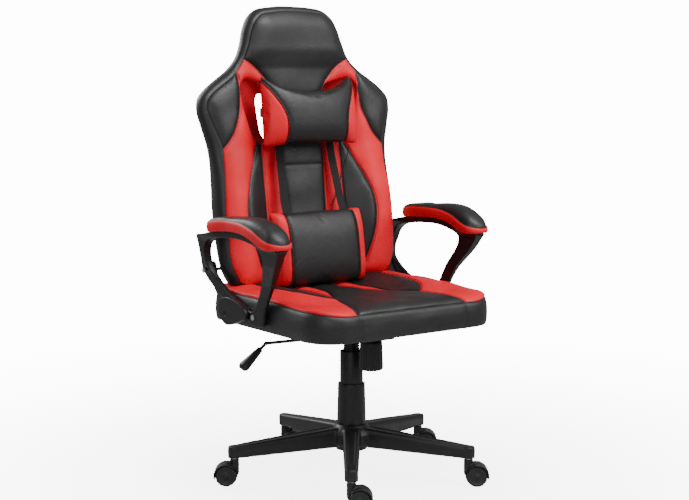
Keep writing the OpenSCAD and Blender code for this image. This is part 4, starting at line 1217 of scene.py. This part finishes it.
def build_arm_pads():
    reach, half = 0.290, 0.035
    turn = np.radians(np.linspace(180, 360, 25))
    points = [(half * math.cos(a), -0.112 + half * math.sin(a)) for a in turn]
    points += [(half * 0.97, -0.05), (half * 0.90, 0.05), (half * 0.83, 0.125), (half * 0.70, 0.146),
               (half * 0.42, 0.1525)]
    plan = np.array(points + [(-x, y) for x, y in points[:-6:-1]])
    plan = spline(plan[::2], 0.004, closed=True)
    inward = normals_2d(plan)
    border = plan + inward * PAD_INSET

    def top(points):
        t = np.clip(distance(points, border, True) / 0.026, 0, 1)
        rounded = (1 - (1 - t) ** 2.2) ** 0.6
        seam, crown = pad_value(PAD_SEAM, points[:, 1]), pad_value(PAD_TOP, points[:, 1])
        return np.stack([points[:, 0], points[:, 1], seam + (crown - seam) * rounded], 1)

    flat, faces, _ = patch(border, [], [], 0.006)
    normals = surface_normals(top, flat)
    rise = 0.0010 - 0.0030 * bell(distance(flat, border, True), 0.0026) + puckers(flat, 0.06, 0.0004, 2)
    verts = top(flat) + normals * rise[:, None]
    seam_z = pad_value(PAD_SEAM, border[:, 1])
    low_z = pad_value(PAD_LOW, border[:, 1])
    profile = spline([(0, 0), (0.6, 0.10), (1.1, 0.35), (1.15, 0.65), (0.8, 0.92), (-0.6, 1.0),
                      (-4.0, 1.0)], 0.1)
    rows = []
    for out, down in profile:
        row = np.empty((len(border), 3))
        row[:, :2] = border - inward * out * PAD_INSET
        row[:, 2] = seam_z - 0.0016 * (down == 0) - down * (seam_z - low_z)
        rows.append(row)
    rows = np.array(rows)
    for s, side in ((1, "left"), (-1, "right")):
        place = np.array([s, 1, 1])
        shift = np.array([s * reach, 0, 0])
        v, f = split(verts * place + shift, faces if s > 0 else faces[:, ::-1], normals * place, 0.004)
        cap = build(f"arm_pad_top_{side}", v, f, BLACK, "seat")
        ring = grid_faces(len(rows), len(border), False, True)
        ring.append(tuple((len(rows) - 1) * len(border) + k for k in range(len(border))))
        around = (rows * place + shift).reshape(-1, 3)
        band = build(f"arm_pad_band_{side}", around, ring, RED, "seat")
        orient(band)
        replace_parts(band, f"arm_pad_{side}")
        welt = Shape().add(*tube((top(border) * place + shift) - [0, 0, 0.0012], 0.0014, 7, closed=True))
        welt.build(f"arm_pad_piping_{side}", PIPING, "seat", "black_leather")


build_arm_pads()


def worn_round(obj, voxel, rounds):
    remesh = obj.modifiers.new("remesh", "REMESH")
    remesh.mode, remesh.voxel_size = "VOXEL", voxel
    smooth = obj.modifiers.new("smooth", "SMOOTH")
    smooth.iterations, smooth.factor = rounds, 0.5
    bake(obj)


def softened(node, name, voxel, rounds, body):
    """A copy of a CAD shape in plastic with its sharp edges worn round, as moulding leaves them."""
    obj = bpy.data.objects.new(name, NODES[node].data.copy())
    bpy.context.scene.collection.objects.link(obj)
    worn_round(obj, voxel, rounds)
    mesh = obj.data
    bpy.data.objects.remove(obj)
    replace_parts(link(name, mesh, PLASTIC, body), node)


def lathe(profile, sides=64, wobble=None):
    """A closed shape turned about Z; profile is (radius, z) from the lower to the upper axis end."""
    verts, rings = [], []
    for r, z in profile:
        start = len(verts)
        if r < 1e-7:
            verts.append((0, 0, z))
            rings.append([start])
        else:
            for k in range(sides):
                a = 2 * math.pi * k / sides
                rr = r + (wobble(a, z) if wobble else 0)
                verts.append((rr * math.cos(a), rr * math.sin(a), z))
            rings.append(list(range(start, start + sides)))
    faces = []
    for low, high in zip(rings[:-1], rings[1:]):
        for k in range(sides):
            m = (k + 1) % sides
            if len(low) == 1 and len(high) > 1:
                faces.append((low[0], high[m], high[k]))
            elif len(high) == 1 and len(low) > 1:
                faces.append((low[k], low[m], high[0]))
            elif len(low) > 1:
                faces.append((low[k], low[m], high[m], high[k]))
    return np.array(verts), faces


def moved(verts, matrix):
    m = np.array(matrix)
    return verts @ m[:3, :3].T + m[:3, 3]


def build_base():
    """Five hollow-looking nylon spokes that grow out of the hub, each with two rails and a groove."""
    low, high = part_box("base_star")
    tip = 0.310 - 0.0155
    shape = Shape()
    top_hub, low_hub = high.z, low.z
    bore = 0.0252
    stations = np.linspace(0.102, 1.0, 17)
    for i in range(5):
        a = math.radians(90 + 72 * i)
        c, s = math.cos(a), math.sin(a)
        rows = []
        for t in stations:
            r = t * tip
            half = 0.0235 + (0.0158 - 0.0235) * t
            top = 0.1275 + (0.0965 - 0.1275) * t ** 1.1
            low_z = 0.0775 + (0.0672 - 0.0775) * t
            groove = 0.0026 * float(ramp(0.10, 0.2, t) * (1 - ramp(0.86, 0.95, t)))
            section = [(-0.80, low_z), (-0.94, low_z + 0.004), (-1.0, top - 0.012), (-0.93, top - 0.0045),
                       (-0.76, top - 0.0008), (-0.52, top), (-0.42, top - groove), (0.42, top - groove),
                       (0.52, top), (0.76, top - 0.0008), (0.93, top - 0.0045), (1.0, top - 0.012),
                       (0.94, low_z + 0.004), (0.80, low_z)]
            rows.append([(r * c - half * u * s, r * s + half * u * c, z) for u, z in section])
        n = len(rows[0])
        faces = grid_faces(len(rows), n, False, True) + end_caps(len(rows), n)
        shape.add(np.array(rows).reshape(-1, 3), faces)
        v, f = lathe([(0, 0.0672), (0.0148, 0.0672), (0.0156, 0.069), (0.0158, 0.090),
                      (0.0145, 0.0955), (0, 0.0965)], 40)
        shape.add(v + [tip * c, tip * s, 0], f)
    hub = [(bore, low_hub), (0.0372, low_hub), (0.0388, low_hub + 0.002), (0.0388, top_hub - 0.004),
           (0.0375, top_hub - 0.001), (0.035, top_hub), (bore, top_hub), (bore, low_hub)]
    fillets = [(bore, 0.080), (0.050, 0.081), (0.054, 0.087), (0.054, 0.108), (0.047, 0.119),
               (0.040, 0.126), (bore, 0.127), (bore, 0.080)]
    for profile in (hub, fillets):
        shape.add(*lathe(profile, 72))
    star = shape.build("star_base", NYLON_BASE, "base", "black_plastic")
    orient(star)
    worn_round(star, 0.0018, 6)
    star.data.polygons.foreach_set("use_smooth", [True] * len(star.data.polygons))
    star.data.materials.clear()
    star.data.materials.append(NYLON_BASE)
    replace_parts(star, "base_star")


WHEEL_HALF = 0.0085
# Section of a wheel from its outer face to its inner one, in shares of its radius and half width
WHEEL_FACE = [(0, 0.9), (0.16, 0.9), (0.19, 0.72), (0.60, 0.66), (0.70, 0.80), (0.78, 0.98), (0.90, 1.0),
              (0.965, 0.90), (0.995, 0.6), (1.0, 0.0), (0.995, -0.6), (0.965, -0.9), (0.9, -1.0),
              (0.3, -0.98), (0.28, -0.9), (0, -0.9)]


def build_casters():
    """Twin wheels with a rounded tread, a dished face and a pressed-in cap, under a smooth hood."""
    for i in range(1, 6):
        softened(f"caster_body_{i}", f"caster_hood_{i}", 0.0011, 5, f"caster_{i}")
        for side in "ab":
            node = f"wheel_{i}{side}"
            low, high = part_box(node)
            centre = (low + high) / 2
            other_low, other_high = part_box(f"wheel_{i}{'b' if side == 'a' else 'a'}")
            outward = centre - (other_low + other_high) / 2
            outward.z = 0
            outward.normalize()
            r = (high.z - low.z) / 2
            v, f = lathe([(u * r, v * WHEEL_HALF) for u, v in WHEEL_FACE], 56)
            turn = outward.to_track_quat("Z", "Y").to_matrix().to_4x4()
            turn.translation = centre
            wheel = build(f"caster_wheel_{i}{side}", moved(v, turn), f, WHEEL, node)
            orient(wheel)
            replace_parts(wheel, node)


def bevelled(node, width):
    """Rounds a CAD part's sharp edges with a modifier, which leaves its mesh as it is."""
    weld = NODES[node].modifiers.new("weld", "WELD")
    weld.merge_threshold = 0.00001
    bevel = NODES[node].modifiers.new("bevel", "BEVEL")
    bevel.width, bevel.segments = width, 2
    bevel.limit_method, bevel.angle_limit = "ANGLE", math.radians(35)
    bevel.use_clamp_overlap = True
    bevel.harden_normals = False


def build_knob():
    """Tension knob: sixteen shallow flutes, a flared skirt and a domed end."""
    low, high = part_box("tension_knob")
    centre = (low + high) / 2
    radius = (high.x - low.x) / 2
    height = high.z - low.z

    def flutes(a, z):
        share = (z - low.z) / height
        fade = float(ramp(0.04, 0.12, share) * (1 - ramp(0.82, 0.92, share)))
        return -0.0013 * (0.5 + 0.5 * math.cos(16 * a)) ** 2 * fade

    profile = [(0, low.z), (radius * 0.80, low.z), (radius * 0.94, low.z + 0.0015), (radius, low.z + 0.005)]
    profile += [(radius * (1 - 0.07 * t), low.z + 0.005 + (height - 0.013) * t)
                for t in np.linspace(0.05, 1, 14)]
    profile += [(radius * 0.90, high.z - 0.004), (radius * 0.80, high.z - 0.001),
                (radius * 0.6, high.z), (0, high.z)]
    v, f = lathe(profile, 128, flutes)
    knob = build("tension_knob_grip", v + [centre.x, centre.y, 0], f, PLASTIC, "knob")
    orient(knob)
    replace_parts(knob, "tension_knob")


def finish_nodes():
    """Gives every CAD part that still shows its own finish."""
    finishes = [
        (PLASTIC, ["cover_lower", "cover_middle", "cover_upper", "lever_bush"]),
        (PAINTED, ["column_tube", "mech_housing", "mech_plate", "gas_cylinder", "bracket_left",
                   "bracket_right", "lever_rod", "back_frame"]),
        (PALE_NYLON, ["tube_bushing"]),
        (STEEL, ["caster_stems", "thrust_bearing", "lift_clip", "tilt_pin", "tilt_spring", "tension_bolt",
                 "seat_bolts", "bracket_bolts", "arm_bolts", "release_button"]
            + [f"caster_axle_{i}" for i in range(1, 6)]),
        (CHROME, ["piston_rod"]),
        (PLYWOOD, ["seat_board"])]
    for material, names in finishes:
        for name in names:
            data = NODES[name].data
            data.materials.clear()
            data.materials.append(material)
    for name in ("cover_lower", "cover_middle", "cover_upper"):
        bevelled(name, 0.0008)
    for name in ("mech_housing", "mech_plate", "bracket_left", "bracket_right", "lever_bush", "arm_bolts",
                 "bracket_bolts", "seat_bolts"):
        bevelled(name, 0.0006)


build_base()
build_casters()
build_knob()
for side in ("left", "right"):
    softened(f"arm_frame_{side}", f"arm_loop_{side}", 0.0016, 14, "seat")
    softened(f"bracket_cover_{side}", f"side_cover_{side}", 0.0012, 8, "seat")
softened("lever_handle", "lever_grip", 0.0009, 8, "lever")
finish_nodes()


# ---------- stage ----------
def build_stage():
    floor = Nodes("pale_floor")
    floor.shader.inputs["Base Color"].default_value = (0.82, 0.82, 0.82, 1)
    floor.shader.inputs["Roughness"].default_value = 0.9
    clear = floor.node("ShaderNodeBsdfTransparent")
    reach = floor.node("ShaderNodeVectorMath", operation="LENGTH")
    floor.wire(floor.place, reach.inputs[0])
    mix = floor.node("ShaderNodeMixShader")
    floor.wire(floor.stretch(reach.outputs["Value"], 0.30, 1.9, FLOOR_CLEAR, 1.0), mix.inputs[0])
    floor.wire(floor.shader.outputs[0], mix.inputs[1])
    floor.wire(clear.outputs[0], mix.inputs[2])
    floor.wire(mix.outputs[0], floor.out.inputs["Surface"])
    angles = np.linspace(0, 2 * math.pi, 64, endpoint=False)
    verts = [(FLOOR_RADIUS * math.cos(a), FLOOR_RADIUS * math.sin(a), 0) for a in angles]
    mesh = new_mesh("floor", verts, [tuple(range(64))])
    obj = bpy.data.objects.new("floor", mesh)
    bpy.context.scene.collection.objects.link(obj)
    mesh.materials.append(floor.material)
    world = bpy.data.worlds.new("studio")
    world.use_nodes = True
    tree = world.node_tree
    tree.nodes["Background"].inputs["Color"].default_value = (1, 1, 1, 1)
    seen = tree.nodes.new("ShaderNodeBackground")
    seen.inputs["Color"].default_value = (1, 1, 1, 1)
    seen.inputs["Strength"].default_value = BACKDROP
    tree.nodes["Background"].inputs["Strength"].default_value = WORLD_LIGHT
    path, mix = tree.nodes.new("ShaderNodeLightPath"), tree.nodes.new("ShaderNodeMixShader")
    tree.links.new(path.outputs["Is Camera Ray"], mix.inputs[0])
    tree.links.new(tree.nodes["Background"].outputs[0], mix.inputs[1])
    tree.links.new(seen.outputs[0], mix.inputs[2])
    tree.links.new(mix.outputs[0], tree.nodes["World Output"].inputs["Surface"])
    bpy.context.scene.world = world


def softbox(name, place, target, width, height, power):
    data = bpy.data.lights.new(name, "AREA")
    data.shape, data.size, data.size_y, data.energy = "RECTANGLE", width, height, power
    lamp = bpy.data.objects.new(name, data)
    bpy.context.scene.collection.objects.link(lamp)
    lamp.location = place
    lamp.rotation_mode = "QUATERNION"
    lamp.rotation_quaternion = (Vector(target) - Vector(place)).to_track_quat("-Z", "Y")


FLOOR_RADIUS = 60.0
WORLD_LIGHT = 0.36
# What the camera sees behind the chair, and how far it shows through the floor near the chair
BACKDROP = 14.0
FLOOR_CLEAR = 0.36
build_stage()
softbox("key_light", (1.7, -2.7, 2.4), (0, 0, 0.75), 2.2, 2.0, 80)
softbox("fill_light", (-2.6, -2.4, 1.6), (0, 0, 0.7), 1.8, 1.8, 34)
softbox("top_light", (0.3, -1.3, 3.1), (0, 0.05, 0.6), 1.6, 1.3, 96)
softbox("rear_light", (-1.2, 3.0, 2.4), (0, 0, 0.7), 2.0, 2.0, 120)


# ---------- camera ----------
def build_camera():
    """Eye level with the pillow, in front and to the sitter's right."""
    data = bpy.data.cameras.new("camera")
    data.sensor_width = 36
    data.lens = 79.26
    camera = bpy.data.objects.new("camera", data)
    bpy.context.scene.collection.objects.link(camera)
    camera.location = (-2.134, -2.938, 1.022)
    heading, pitch = math.radians(36.0 - 0.275), math.radians(7.3)
    level = math.cos(pitch)
    ahead = Vector((math.sin(heading) * level, math.cos(heading) * level, -math.sin(pitch)))
    camera.rotation_mode = "QUATERNION"
    camera.rotation_quaternion = ahead.to_track_quat("-Z", "Y")
    data.clip_end = 200
    bpy.context.scene.camera = camera


build_camera()
bpy.context.view_layer.update()
